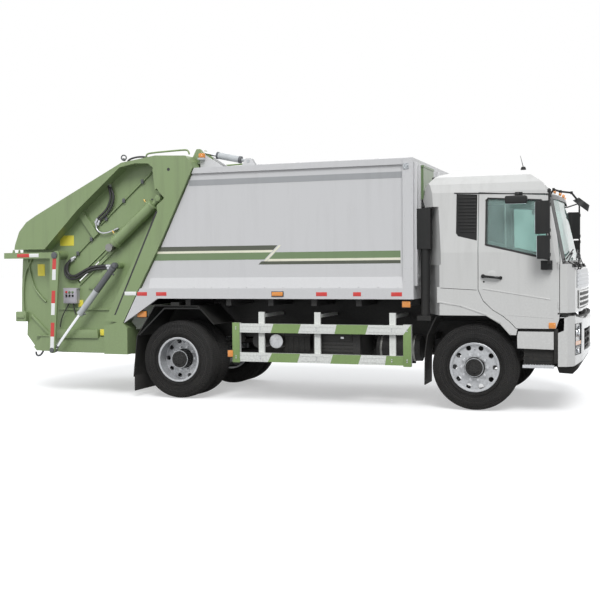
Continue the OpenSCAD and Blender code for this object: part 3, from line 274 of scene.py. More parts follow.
def make_finishes(paint):
    """Every finish of the truck, named for what it covers."""
    finish_of("cab_paint", paint.cab, 0.12, 0.22, 0.012, 0.04, 0.22, Coat_Weight=0.5, Coat_Roughness=0.08)
    finish_of("body_paint", paint.body, 0.07, 0.34, 0.02, 0.06, 0.2, Coat_Weight=0.25)
    finish_of("tailgate_paint", paint.tailgate, 0.25, 0.42, 0.03, 0.06, 0.2, Coat_Weight=0.1)
    finish_of("stripe_paint", paint.stripe, 0.12, 0.32, 0.01, 0.05, 0.1, Coat_Weight=0.3)
    finish_of("stripe_dark_paint", paint.stripe_dark, 0.1, 0.32, 0.01, 0.05, 0.1, Coat_Weight=0.3)
    finish_of("stripe_pale_paint", paint.stripe_pale, 0.1, 0.35, 0.01, 0.05, 0.1)
    finish_of("grey_line_paint", tone(150, 152, 154), 0.1, 0.35, 0.01, 0.05, 0.1)
    finish_of("guard_green_paint", paint.guard, 0.15, 0.35, 0.02, 0.05, 0.25)
    finish_of("guard_white_paint", tone(212, 214, 210), 0.15, 0.35, 0.02, 0.05, 0.3)
    finish_of("chassis_paint", paint.chassis, 0.2, 0.5, 0.08, 0.04, 0.35, Specular_IOR_Level=0.25)
    finish_of("spring_steel", tone(32, 31, 31), 0.4, 0.6, 0.15, 0.08, 0.5, Metallic=0.3)
    finish_of("cast_metal", tone(58, 60, 63), 0.45, 0.6, 0.3, 0.1, 0.5, Metallic=0.4)
    finish_of("moulded_plastic", tone(18, 19, 20), 0.08, 0.5, 0.1, 0.03, 0.3, Specular_IOR_Level=0.22)
    finish_of("gloss_black", tone(16, 17, 18), 0.06, 0.25, 0.01, 0.02, 0.15, Specular_IOR_Level=0.2,
        Coat_Weight=0.1)
    finish_of("bare_aluminium", tone(188, 190, 193), 0.15, 0.32, 0.03, 0.05, 0.3, Metallic=0.85)
    finish_of("worn_steel", tone(120, 121, 118), 0.5, 0.42, 0.08, 0.15, 0.1, Metallic=0.75)
    finish_of("cylinder_paint", tone(74, 77, 82), 0.25, 0.4, 0.03, 0.05, 0.1, Coat_Weight=0.2)
    finish_of("cylinder_pale_paint", tone(176, 180, 182), 0.25, 0.35, 0.03, 0.05, 0.1, Coat_Weight=0.2)
    finish_of("hard_chrome", tone(222, 224, 227), 0.05, 0.1, 0.0, 0.0, 0.05, Metallic=1.0)
    finish_of("wheel_paint", paint.wheel, 0.3, 0.36, 0.03, 0.08, 0.35, Metallic=0.35)
    finish_of("tyre_rubber", paint.rubber, 0.12, 0.75, 0.12, 0.06, 0.28, Specular_IOR_Level=0.3)
    finish_of("hose_rubber", tone(28, 28, 30), 0.05, 0.5, 0.06, 0.03, 0.1)
    finish_of("trim_fabric", tone(64, 66, 70), 0.05, 0.85, 0.25, 0.08, 0.0)
    finish_of("box_paint", tone(172, 168, 176), 0.15, 0.4, 0.03, 0.05, 0.1)
    finish_of("tape_red", paint.red, 0.08, 0.3, 0.02, 0.02, 0.1, Coat_Weight=0.4)
    finish_of("tape_white", tone(226, 227, 226), 0.08, 0.3, 0.02, 0.02, 0.1, Coat_Weight=0.4)
    finish_of("plate_yellow", paint.yellow, 0.1, 0.4, 0.01, 0.05, 0.1)
    finish_of("brass_fitting", tone(176, 150, 90), 0.2, 0.3, 0.02, 0.05, 0.1, Metallic=1.0)
    finish_of("mirror_glass", tone(205, 210, 214), 0.03, 0.04, 0.0, 0.0, 0.02, Metallic=1.0)
    lamp_finish("red_lens", paint.red, 0.05)
    lamp_finish("amber_lens", paint.amber, 0.04)
    lamp_finish("clear_lens", tone(226, 232, 236), 0.0, 0.85)
    glass_finish("cab_glass", paint.glass)
    return FINISHES


FINISH_OF_NODE = {
    "chassis_paint": "air_tanks chassis_frame subframe front_axle rear_axle drive_shaft "
    "knuckle_right knuckle_left tie_rod exhaust_silencer battery_box",
    "spring_steel": "leaf_springs",
    "cast_metal": "engine_block",
    "bare_aluminium": "fuel_tank",
    "guard_white_paint": "side_guards",
    "moulded_plastic": "mudguards air_intake quarter_panels front_mirror mirrors_right mirrors_left",
    "cab_paint": "front_bumper cab_steps cab_shell door_right door_left",
    "clear_lens": "headlights",
    "red_lens": "rear_lamps",
    "body_paint": "body_shell",
    "stripe_paint": "hydraulic_tank",
    "worn_steel": "ejector_plate packer_slide sweep_blade",
    "wheel_paint": "wheel_front_right wheel_front_left wheel_rear_right wheel_rear_left",
    "tyre_rubber": "tyre_front_right tyre_front_left tyres_rear_right tyres_rear_left",
    "cab_glass": "windshield door_glass_right door_glass_left",
    "trim_fabric": "cab_interior",
    "tailgate_paint": "tailgate_shell tailgate_sides packing_barrels lift_frame",
    "cylinder_paint": "sweep_barrels lift_barrels",
    "cylinder_pale_paint": "roof_barrels",
    "hard_chrome": "sweep_rods lift_rods roof_rods",
    "box_paint": "control_box",
}


class Build:
    """Base of the operators, which list in one panel. Each says in build what it makes."""

    bl_options = {"REGISTER", "UNDO"}

    def execute(self, context):
        self.build(context)
        return {"FINISHED"}


class TRUCK_OT_finishes(Build, bpy.types.Operator):
    """Make the finishes and put one on each piece of the frame"""

    bl_idname = "truck.finishes"
    bl_label = "Finishes"

    def build(self, context):
        made = make_finishes(context.scene.truck_colours)
        for finish, names in FINISH_OF_NODE.items():
            for name in names.split():
                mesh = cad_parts[name].data
                mesh.materials.clear()
                mesh.materials.append(made[finish])


# ---------------------------------------------------------------- stage


def seen_straight(tree):
    """1 for rays of the camera, reflections and glass, 0 for light that bounces off the truck."""
    path = node(tree, "ShaderNodeLightPath", (-800, 300))
    total = path.outputs["Is Camera Ray"]
    for name in ("Is Glossy Ray", "Is Transmission Ray"):
        add = node(tree, "ShaderNodeMath", (-600, 300), operation="ADD", use_clamp=True)
        tree.links.new(total, add.inputs[0])
        tree.links.new(path.outputs[name], add.inputs[1])
        total = add.outputs[0]
    return total


class TRUCK_OT_stage(Build, bpy.types.Operator):
    """Camera, soft light and a pale floor"""

    bl_idname = "truck.stage"
    bl_label = "Stage"

    def build(self, context):
        yaw, pitch, roll = 0.3447, -0.0359, -0.00907
        forward = Vector((-math.sin(yaw) * math.cos(pitch), math.cos(yaw) * math.cos(pitch), math.sin(pitch)))
        right = Vector((math.cos(yaw), math.sin(yaw), 0))
        up = right.cross(forward)
        turned_right = math.cos(roll) * right + math.sin(roll) * up
        turned_up = -math.sin(roll) * right + math.cos(roll) * up
        clear_selection()
        bpy.ops.object.camera_add()
        camera = context.object
        camera.name = "camera"
        camera.data.lens, camera.data.sensor_width = 58.16, 36
        camera.data.clip_start, camera.data.clip_end = 0.1, 400
        turn = Matrix((turned_right, turned_up, -forward)).transposed()
        camera.matrix_world = Matrix.Translation((4.6165, -12.762, 1.767)) @ turn.to_4x4()
        context.scene.camera = camera

        for name, energy, angle, turn in (
            ("key", 2.3, 0.45, (0.75, 0.0, 0.42)),
            ("fill", 0.6, 1.2, (1.05, 0.0, -0.9)),
            ("back", 0.5, 1.2, (-0.9, 0.0, 0.3)),
        ):
            bpy.ops.object.light_add(type="SUN", location=(0, -6, 9), rotation=turn)
            lamp = context.object
            lamp.name = name
            lamp.data.energy, lamp.data.angle = energy, angle

        world = bpy.data.worlds.new("studio")
        context.scene.world = world
        world.use_nodes = True
        tree = world.node_tree
        light = tree.nodes["Background"]
        light.inputs["Color"].default_value = (0.93, 0.96, 1.0, 1)
        light.inputs["Strength"].default_value = 0.68
        shown = node(tree, "ShaderNodeBackground", (0, -200))
        shown.inputs["Color"].default_value = (1, 1, 1, 1)
        blend = node(tree, "ShaderNodeMixShader", (200, 0))
        tree.links.new(seen_straight(tree), blend.inputs[0])
        tree.links.new(light.outputs[0], blend.inputs[1])
        tree.links.new(shown.outputs[0], blend.inputs[2])
        tree.links.new(blend.outputs[0], tree.nodes["World Output"].inputs[0])

        clear_selection()
        bpy.ops.mesh.primitive_circle_add(vertices=96, radius=150, fill_type="NGON", location=(0, 0, -0.001))
        floor = context.object
        floor.name = "floor"
        material = bpy.data.materials.new("pale_floor")
        material.use_nodes = True
        tree = material.node_tree
        shader = tree.nodes["Principled BSDF"]
        grain = node(tree, "ShaderNodeTexNoise", (-600, 0))
        grain.inputs["Scale"].default_value = 3.0
        tint = node(tree, "ShaderNodeValToRGB", (-300, 0))
        tint.color_ramp.elements[0].color = (0.60, 0.60, 0.60, 1)
        tint.color_ramp.elements[1].color = (0.64, 0.64, 0.64, 1)
        tree.links.new(grain.outputs[0], tint.inputs[0])
        share = node(tree, "ShaderNodeMix", (-100, 0), data_type="RGBA", clamp_factor=True)
        tree.links.new(seen_straight(tree), share.inputs["Factor"])
        first, second = [s for s in share.inputs if s.type == "RGBA"]
        first.default_value = (0.2, 0.2, 0.2, 1)
        tree.links.new(tint.outputs[0], second)
        tree.links.new([s for s in share.outputs if s.type == "RGBA"][0], shader.inputs["Base Color"])
        shader.inputs["Roughness"].default_value = 0.9
        shader.inputs["Specular IOR Level"].default_value = 0.1
        shader.inputs["Emission Color"].default_value = (1, 1, 1, 1)
        lift = node(tree, "ShaderNodeMath", (-300, -300), operation="MULTIPLY")
        lift.inputs[1].default_value = 0.42
        tree.links.new(seen_straight(tree), lift.inputs[0])
        tree.links.new(lift.outputs[0], shader.inputs["Emission Strength"])
        floor.data.materials.append(material)
        context.scene.view_settings.view_transform = "Standard"


# ---------------------------------------------------------------- modelling


def clear_selection():
    if bpy.context.object and bpy.context.object.mode != "OBJECT":
        bpy.ops.object.mode_set(mode="OBJECT")
    bpy.ops.object.select_all(action="DESELECT")


def settled():
    """The new piece with its place, turn and scale put into its mesh."""
    bpy.ops.object.transform_apply(location=True, rotation=True, scale=True)
    return bpy.context.object


def soften(piece, width, segments=2, angle=35):
    if width <= 0:
        return piece
    bpy.context.view_layer.objects.active = piece
    bpy.ops.object.modifier_add(type="BEVEL")
    edge = piece.modifiers[-1]
    edge.width, edge.segments, edge.limit_method = width, segments, "ANGLE"
    edge.angle_limit = math.radians(angle)
    bpy.ops.object.modifier_apply(modifier=edge.name)
    return piece


def slab(low, high, edge=0.004, segments=2):
    """A box from corner to corner with softened edges."""
    low, high = Vector(low), Vector(high)
    clear_selection()
    bpy.ops.mesh.primitive_cube_add(size=1, location=(low + high) / 2, scale=high - low)
    return soften(settled(), edge, segments)


def pad(low, high, edge):
    """A box with round edges, such as a mirror's housing."""
    return slab(low, high, edge, 4)


def drum(start, end, radius, vertices=24, edge=0.0, top=None):
    """A round bar from start to end, or a cone to the radius top."""
    start, end = Vector(start), Vector(end)
    along = end - start
    clear_selection()
    bpy.ops.mesh.primitive_cone_add(
        vertices=vertices, radius1=radius, radius2=radius if top is None else top, depth=along.length,
        location=(start + end) / 2, rotation=along.to_track_quat("Z", "Y").to_euler(),
    )
    return soften(settled(), edge)


def crossbar(x, z, start, end, radius, vertices=24, edge=0.0):
    """A round bar across the truck from start to end."""
    return drum((x, start, z), (x, end, z), radius, vertices, edge)


def close_edit():
    """Turns every face of the mesh being edited outwards and ends the edit."""
    bpy.ops.mesh.select_all(action="SELECT")
    bpy.ops.mesh.normals_make_consistent(inside=False)
    bpy.ops.object.mode_set(mode="OBJECT")


def outline_plate(points, start, end, edge=0.0, axis=1):
    """An outline in the plane across an axis, Y unless it is given, extruded along it from start to end."""
    clear_selection()
    bpy.ops.mesh.primitive_circle_add(vertices=len(points), radius=1, fill_type="NGON")
    piece = bpy.context.object
    spare = [a for a in (0, 1, 2) if a != axis]
    for vertex, point in zip(piece.data.vertices, points):
        place = [0.0, 0.0, 0.0]
        place[spare[0]], place[spare[1]], place[axis] = point[0], point[1], start
        vertex.co = place
    step = [0.0, 0.0, 0.0]
    step[axis] = end - start
    bpy.ops.object.mode_set(mode="EDIT")
    bpy.ops.mesh.select_all(action="SELECT")
    bpy.ops.mesh.extrude_region_move(TRANSFORM_OT_translate={"value": step})
    close_edit()
    return soften(piece, edge)


def pipe(points, radius, resolution=3, sides=3):
    """A bent pipe or hose along its points."""
    clear_selection()
    bpy.ops.curve.primitive_nurbs_path_add()
    piece = bpy.context.object
    curve = piece.data
    curve.splines.clear()
    line = curve.splines.new("NURBS")
    line.points.add(len(points) - 1)
    for spot, point in zip(line.points, points):
        spot.co = (*point, 1)
    line.order_u, line.use_endpoint_u = min(4, len(points)), True
    curve.resolution_u, curve.bevel_depth, curve.bevel_resolution = resolution, radius, sides
    curve.use_fill_caps = True
    piece.matrix_world = Matrix.Identity(4)
    bpy.ops.object.convert(target="MESH")
    return bpy.context.object


def copied(piece, matrix):
    """A copy of a piece with its own mesh, moved by a matrix."""
    twin = piece.copy()
    twin.data = piece.data.copy()
    twin.data.transform(matrix)
    if matrix.determinant() < 0:
        twin.data.flip_normals()
    bpy.context.scene.collection.objects.link(twin)
    return twin


MIRROR = Matrix.Scale(-1, 4, (0, 1, 0))
USUAL_SLOT = {
    # slot of a finish, where a call names none
    "moulded_plastic": "black_plastic",
    "gloss_black": "black_plastic",
    "tailgate_paint": "tailgate_green",
    "cylinder_paint": "cylinder_grey",
    "cylinder_pale_paint": "cylinder_grey",
    "cab_paint": "cab_white",
    "body_paint": "body_silver",
    "amber_lens": "lamp_red",
    "guard_green_paint": "guard_paint",
    "guard_white_paint": "guard_paint",
    "bare_aluminium": "bare_aluminium",
    "mirror_glass": "rod_chrome",
}


def assemble(name, parts, finish, body, slot=None, angle=35):
    """Joins the parts into one piece with one finish that rides on a body."""
    clear_selection()
    for part in parts:
        part.select_set(True)
    piece = parts[0]
    bpy.context.view_layer.objects.active = piece
    if len(parts) > 1:
        bpy.ops.object.join()
    piece.name = piece.data.name = name
    piece.data.materials.clear()
    piece.data.materials.append(FINISHES[finish])
    bpy.ops.object.shade_smooth_by_angle(angle=math.radians(angle))
    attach(piece, body)
    slot = slot or USUAL_SLOT.get(finish)
    return piece


def assemble_pair(name, parts, finish, bodies, slot=None, angle=35):
    """The same piece on the right and, mirrored, on the left. Bodies are one name or a pair."""
    right, left = bodies if isinstance(bodies, tuple) else (bodies, bodies)
    piece = assemble(name + "_right", parts, finish, right, slot, angle)
    twin = copied(piece, MIRROR)
    twin.parent = None
    twin.matrix_world = Matrix.Identity(4)
    twin.name = twin.data.name = name + "_left"
    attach(twin, left)
    return piece, twin


# ---------------------------------------------------------------- wheels and tyres

WHEELS = {
    "front_right": (FRONT_AXLE, [-1.022], "tyre_front_right"),
    "front_left": (FRONT_AXLE, [1.022], "tyre_front_left"),
    "rear_right": (REAR_AXLE, [-1.026, -0.704], "tyres_rear_right"),
    "rear_left": (REAR_AXLE, [1.026, 0.704], "tyres_rear_left"),
}


def lathe(profile, steps, centre=(0, 0, 0)):
    """A closed outline of (radius, y) spun about the Y axis."""
    clear_selection()
    bpy.ops.mesh.primitive_circle_add(vertices=len(profile), radius=1, fill_type="NOTHING")
    piece = bpy.context.object
    for vertex, (radius, y) in zip(piece.data.vertices, profile):
        vertex.co = (radius, y, 0)
    bpy.ops.object.mode_set(mode="EDIT")
    bpy.ops.mesh.select_all(action="SELECT")
    bpy.ops.mesh.spin(steps=steps, angle=2 * math.pi, center=(0, 0, 0), axis=(0, 1, 0))
    bpy.ops.mesh.select_all(action="SELECT")
    bpy.ops.mesh.remove_doubles(threshold=0.0002)
    close_edit()
    piece.data.transform(Matrix.Translation(centre))
    return piece


def tyre_outline(groove):
    """Half of the tyre's section from tread to bead, mirrored to a closed loop."""
    half = [
        (0.5195, 0.004), (0.5195 - groove, 0.006), (0.5195 - groove, 0.013), (0.520, 0.015), (0.520, 0.047),
        (0.520 - groove, 0.049), (0.520 - groove, 0.056), (0.5185, 0.058), (0.516, 0.088), (0.5105, 0.110),
        (0.499, 0.124), (0.483, 0.131), (0.466, 0.1345), (0.463, 0.1375), (0.448, 0.1405), (0.432, 0.1425),
        (0.404, 0.1443), (0.383, 0.1446), (0.360, 0.1436), (0.345, 0.1415), (0.338, 0.1395), (0.333, 0.1395),
        (0.320, 0.1330), (0.306, 0.1240), (0.296, 0.1150), (0.2895, 0.1120),
    ]
    return half + [(r, -y) for r, y in reversed(half)]


class TRUCK_OT_tyres(Build, bpy.types.Operator):
    """Tyres with grooves, shoulder blocks and sidewall ribs"""

    bl_idname = "truck.tyres"
    bl_label = "Tyres"

    def build(self, context):
        sizes = context.scene.truck_sizes
        steps = sizes.tread_steps * 2
        master = lathe(tyre_outline(sizes.tread_depth), steps)
        chosen = 0
        turn = 2 * math.pi / steps
        for polygon in master.data.polygons:
            x, y, z = polygon.center
            radius = math.hypot(x, z)
            sector = int(math.atan2(z, x) % (2 * math.pi) / turn)
            shoulder = 0.07 < abs(y) < 0.129 and radius > 0.49
            centre = 0.02 < abs(y) < 0.045 and radius > 0.51
            polygon.select = (shoulder and sector % 2 == 0) or (centre and (sector + (y > 0)) % 3 == 0)
            chosen += polygon.select
        if not chosen:
            raise RuntimeError("the tread has no blocks")
        for edge in master.data.edges:
            edge.select = False
        bpy.context.view_layer.objects.active = master
        bpy.ops.object.mode_set(mode="EDIT")
        bpy.ops.mesh.select_mode(type="FACE")
        bpy.ops.mesh.inset(thickness=0.0022, depth=-0.75 * sizes.tread_depth, use_individual=True)
        bpy.ops.mesh.select_mode(type="VERT")
        bpy.ops.object.mode_set(mode="OBJECT")
        for place, (x, sides, replaced) in WHEELS.items():
            tyres = [
                copied(master, Matrix.Translation((x, y, AXLE_HEIGHT)) @ Matrix.Rotation(0.02 * i, 4, "Y"))
                for i, y in enumerate(sides)
            ]
            piece = assemble("tyre_" + place, tyres, "tyre_rubber", "wheel_" + place, "tyre_rubber", 32)
            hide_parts(replaced)
        bpy.data.objects.remove(master)


def copies_round(piece, count, x):
    """The piece and its copies turned about a wheel's axle."""
    parts = [piece]
    centre = Matrix.Translation((x, 0, AXLE_HEIGHT))
    for i in range(1, count):
        turn = centre @ Matrix.Rotation(2 * math.pi * i / count, 4, "Y") @ centre.inverted()
        parts.append(copied(piece, turn))
    return parts


class TRUCK_OT_wheel_fittings(Build, bpy.types.Operator):
    """Nuts, hub caps, rim beads and valves of the wheels"""

    bl_idname = "truck.wheel_fittings"
    bl_label = "Wheel fittings"

    def build(self, context):
        nut = context.scene.truck_sizes.nut_size / math.sqrt(3)
        for place, x, face, hub, hub_radius in (
            ("front", FRONT_AXLE, -1.122, -1.178, 0.112), ("rear", REAR_AXLE, -0.964, -1.116, 0.118),
        ):
            bodies = (f"wheel_{place}_right", f"wheel_{place}_left")
            z = AXLE_HEIGHT
            at = x + 0.155
            washer = crossbar(at, z, face, face - 0.004, nut * 1.25, 20)
            hexagon = crossbar(at, z, face - 0.003, face - 0.026, nut, 6, 0.002)
            stud = crossbar(at, z, face - 0.02, face - 0.042, 0.0105, 12, 0.002)
            clear_selection()
            for part in (washer, hexagon, stud):
                part.select_set(True)
            bpy.context.view_layer.objects.active = washer
            bpy.ops.object.join()
            assemble_pair(f"nuts_{place}", copies_round(washer, 10, x), "bare_aluminium", bodies,
                "wheel_silver")
            r = hub_radius
            cap = lathe([
                (r + 0.0015, face - 0.002), (r + 0.012, face - 0.002), (r + 0.012, face - 0.014),
                (r + 0.0025, face - 0.020), (r + 0.0015, hub + 0.012), (r - 0.008, hub - 0.003),
                (0.074, hub - 0.005), (0.066, hub - 0.013), (0.034, hub - 0.016), (0.001, hub - 0.016),
                (0.001, hub - 0.001), (r - 0.012, hub - 0.001), (r + 0.0008, hub + 0.012),
            ], 48, (x, 0, z))
            bolt = crossbar(x + 0.091, z, hub - 0.002, hub - 0.012, 0.0085, 6, 0.001)
            assemble_pair(f"hub_{place}", [cap, *copies_round(bolt, 8, x)], "gloss_black", bodies,
                "chassis_black")
            lip_outline = [
                (0.268, face - 0.001), (0.2738, face - 0.001), (0.2738, face - 0.006), (0.268, face - 0.004),
            ]
            lip = lathe(lip_outline, 64, (x, 0, z))
            rim = -1.022 - 0.125 if place == "front" else -1.026 - 0.125
            bead = lathe([
                (0.2735, rim + 0.012), (0.2735, rim - 0.001), (0.281, rim - 0.0035), (0.292, rim - 0.006),
                (0.299, rim - 0.003), (0.2985, rim + 0.001), (0.290, rim - 0.0005), (0.280, rim + 0.002),
            ], 72, (x, 0, z))
            valve = drum((x, face - 0.001, z + 0.215), (x, face - 0.035, z + 0.225), 0.006, 10, 0.001)
            assemble_pair(f"rim_bead_{place}", [lip, bead, valve], "wheel_paint", bodies, "wheel_silver")


# ---------------------------------------------------------------- load body

STRIPES = {
    # finish: outlines of (x, z) on the side panel
    "grey_line_paint": [[(-1.0775, 2.896), (1.7925, 2.896), (1.7925, 2.82), (-1.0775, 2.82)]],
    "stripe_dark_paint": [
        [(-1.53, 2.025), (0.165, 2.025), (0.105, 1.965), (-1.55, 1.965)],
        [(-0.06, 1.820), (1.7725, 1.820), (1.7725, 1.780), (-0.10, 1.780)],
    ],
    "stripe_paint": [
        [(-1.56, 1.935), (0.075, 1.935), (-0.015, 1.845), (-1.60, 1.845)],
        [(0.135, 1.935), (1.7725, 1.935), (1.7725, 1.850), (0.05, 1.850)],
    ],
    "stripe_pale_paint": [
        [(-1.55, 1.965), (0.105, 1.965), (0.075, 1.935), (-1.56, 1.935)],
        [(0.05, 1.850), (1.7725, 1.850), (1.7725, 1.820), (0.02, 1.820)],
        [(0.185, 2.025), (0.215, 2.025), (0.000, 1.810), (-0.030, 1.810), (0.0, 1.845)],
    ],
}

SILL_TAPES = [(-1.847, -1.697), (-1.561, -1.405), (0.694, 0.839), (1.179, 1.281), (1.663, 1.8)]


class TRUCK_OT_stripes(Build, bpy.types.Operator):
    """Painted stripes along both sides of the load body"""

    bl_idname = "truck.stripes"
    bl_label = "Stripes"

    def build(self, context):
        for finish, outlines in STRIPES.items():
            parts = [outline_plate(points, -PANEL_SIDE - SLEEVE, -PANEL_SIDE + 0.001) for points in outlines]
            assemble_pair("stripe_" + finish.replace("_paint", ""), parts, finish, "chassis", "stripe_green")


class TRUCK_OT_body_trim(Build, bpy.types.Operator):
    """Ribs, roof bows, rivets, tape and marker lamps of the load body"""

    bl_idname = "truck.body_trim"
    bl_label = "Body trim"

    def build(self, context):
        side = -BODY_SIDE
        tapes = [slab((a, side - SLEEVE, 1.376), (b, side + 0.002, 1.426), 0.0004) for a, b in SILL_TAPES]
        assemble_pair("sill_tape", tapes, "tape_red", "chassis")
        lamps, rims = [], []
        for x0, x1, z0, z1, y in (
            (0.101, 0.251, 1.376, 1.428, side), (1.790, 1.895, 1.240, 1.318, -1.19),
                (-1.880, -1.735, 1.085, 1.168, -1.175),
            (-0.520, -0.446, 0.585, 0.672, side),
        ):
            rims.append(slab((x0 - 0.008, y - 0.006, z0 - 0.008), (x1 + 0.008, y + 0.004, z1 + 0.008), 0.003))
            lamps.append(slab((x0, y - 0.020, z0), (x1, y - 0.004, z1), 0.007))
        assemble_pair("side_lamps", lamps, "amber_lens", "chassis")
        assemble_pair("side_lamp_rims", rims, "moulded_plastic", "chassis")
        bows = [
            slab((x - 0.03, -1.13, BODY_ROOF), (x + 0.03, 1.13, 3.073), 0.006)
                for x in (-0.1, 0.42, 0.94, 1.46, 1.88)
        ]
        bows += [slab((-0.1, y - 0.02, BODY_ROOF), (1.88, y + 0.02, 3.068), 0.005) for y in (-1.12, 1.12)]
        assemble("roof_bows", bows, "body_paint", "chassis")
        clear_selection()
        bpy.ops.mesh.primitive_uv_sphere_add(segments=8, ring_count=6, radius=0.006, location=(0, 0, 0))
        rivet = settled()
        rivets = []
        for z in (1.49, 3.0):
            rivets += [copied(rivet, Matrix.Translation((-1.0 + 0.25 * i, side + 0.0008 + 0.021 * (z > 2), z)))
                for i in range(12)]
        rivets += [copied(rivet, Matrix.Translation((x, side + 0.001, 1.56 + 0.16 * i))) for x in (1.835, 1.92)
            for i in range(9)]
        bpy.data.objects.remove(rivet)
        assemble_pair("body_rivets", rivets, "body_paint", "chassis", angle=60)
        front = FRONT_AXLE - 0.72
        ribs = [slab((front - 0.002, y - 0.03, 1.5), (front + 0.035, y + 0.03, 3.0), 0.006)
            for y in (-1.15, -0.95, -0.25, 0.2, 0.65, 1.15)]
        ribs += [slab((front - 0.002, -1.15, z - 0.03), (front + 0.035, 1.15, z + 0.03), 0.006)
            for z in (1.6, 2.4)]
        assemble("front_ribs", ribs, "body_paint", "chassis")
        strip = slab((1.82, side - 0.012, 2.92), (1.89, side + 0.002, 2.99), 0.008)
        assemble_pair("corner_lamp", [strip], "clear_lens", "chassis", "lamp_glass")


class TRUCK_OT_guards(Build, bpy.types.Operator):
    """Green blocks, end posts, pressed lines and bolts of the side guards, and the mud flaps"""

    bl_idname = "truck.guards"
    bl_label = "Side guards"

    def build(self, context):
        rear, front = REAR_AXLE + 0.835, FRONT_AXLE - 0.75
        side = -BODY_SIDE
        # Each block leans forward: its ends along the bottom and the top of a rail
        blocks = []
        for low, ends in (
            (0.530, ((0.034, 0.435, 0.093, 0.474), (0.875, 1.240, 0.912, 1.277),
                (1.581, front - 0.100, 1.599, front - 0.100))),
            (0.905, ((0.076, 0.449, 0.116, 0.487), (0.933, 1.333, 0.962, 1.370))),
        ):
            for a, b, c, d in ends:
                blocks.append(outline_plate(
                    [(a, low), (c, low + 0.115), (d, low + 0.115), (b, low)], side - SLEEVE, side + 0.001
                ))
        assemble_pair("guard_blocks", blocks, "guard_green_paint", "chassis")
        posts = [
            outline_plate([(rear - 0.002, 0.516), (rear - 0.002, 1.032), (rear + 0.1, 1.032),
                (rear + 0.1, 0.516)], side - 0.010, side - 0.001),
            outline_plate([(front - 0.1, 0.516), (front - 0.1, 0.905), (front, 1.032), (front + 0.002, 0.516)],
                side - 0.010, side - 0.001),
        ]
        for post in posts:
            soften(post, 0.002, 2)
        assemble_pair("guard_posts", posts, "guard_green_paint", "chassis")
        lines = []
        for low, spans in (
            (0.530, ((rear + 0.102, 0.040), (0.478, 0.880), (1.282, 1.586))),
                (0.905, ((rear + 0.102, 0.082), (0.490, 0.938), (1.374, front - 0.110))),
        ):
            for start, end in spans:
                for z in (low + 0.028, low + 0.087):
                    lines.append(slab((start, side - 0.004, z - 0.003), (end, side - 0.0008, z + 0.003),
                        0.0015))
        assemble_pair("guard_lines", lines, "guard_white_paint", "chassis")
        bolts = []
        for low in (0.530, 0.905):
            for x in (rear + 0.05, rear + 0.385, rear + 1.145, front - 0.245, front - 0.05):
                for z in (low + 0.045, low + 0.070):
                    y = side - (0.010 if x in (rear + 0.05, front - 0.05) else 0.0)
                    bolts.append(crossbar(x, z, y, y - 0.007, 0.009, 6, 0.001))
        assemble_pair("guard_bolts", bolts, "bare_aluminium", "chassis")
        at = -0.628 + REAR_AXLE
        flap = [(at - 0.006, 0.30), (at + 0.006, 0.30), (at + 0.008, 0.09), (at - 0.008, 0.09)]
        flaps = [outline_plate(flap, side + 0.03, -0.56, 0.002)]
        assemble_pair("mud_flaps", flaps, "tyre_rubber", "chassis", "black_plastic")


# ---------------------------------------------------------------- tailgate

SIDE = -1.045  # outer face of the tailgate's side plate
BAR = -1.286  # outer face of the lift frame's bars
LIFT_PIN = (-3.1025, 1.935)
LIFT_FOOT = (-3.1715, 0.62)
PACK_SLOPE = math.radians(40)
# Each line of cylinders: its upper eye and its direction
PACK = {
    "start": Vector((-1.5445, -1.129, 2.6797)),
    "along": Vector((-math.cos(PACK_SLOPE), 0, -math.sin(PACK_SLOPE))),
}
LIFT = {"start": Vector((-2.1925, -1.222, 1.785)), "along": Vector((-0.643346, 0, -0.765575))}


def along(line, distance):
    return line["start"] + distance * line["along"]


def collar(line, start, end, radius, edge=0.003):
    """A ring round a cylinder between two distances from its upper eye."""
    return drum(along(line, start), along(line, end), radius, 40, edge)


def bar_strip(x, low, high, half):
    """A band of the leaning bar between two heights. x gives its middle at a height."""
    return [(x(low) - half, low), (x(low) + half, low), (x(high) + half, high), (x(high) - half, high)]


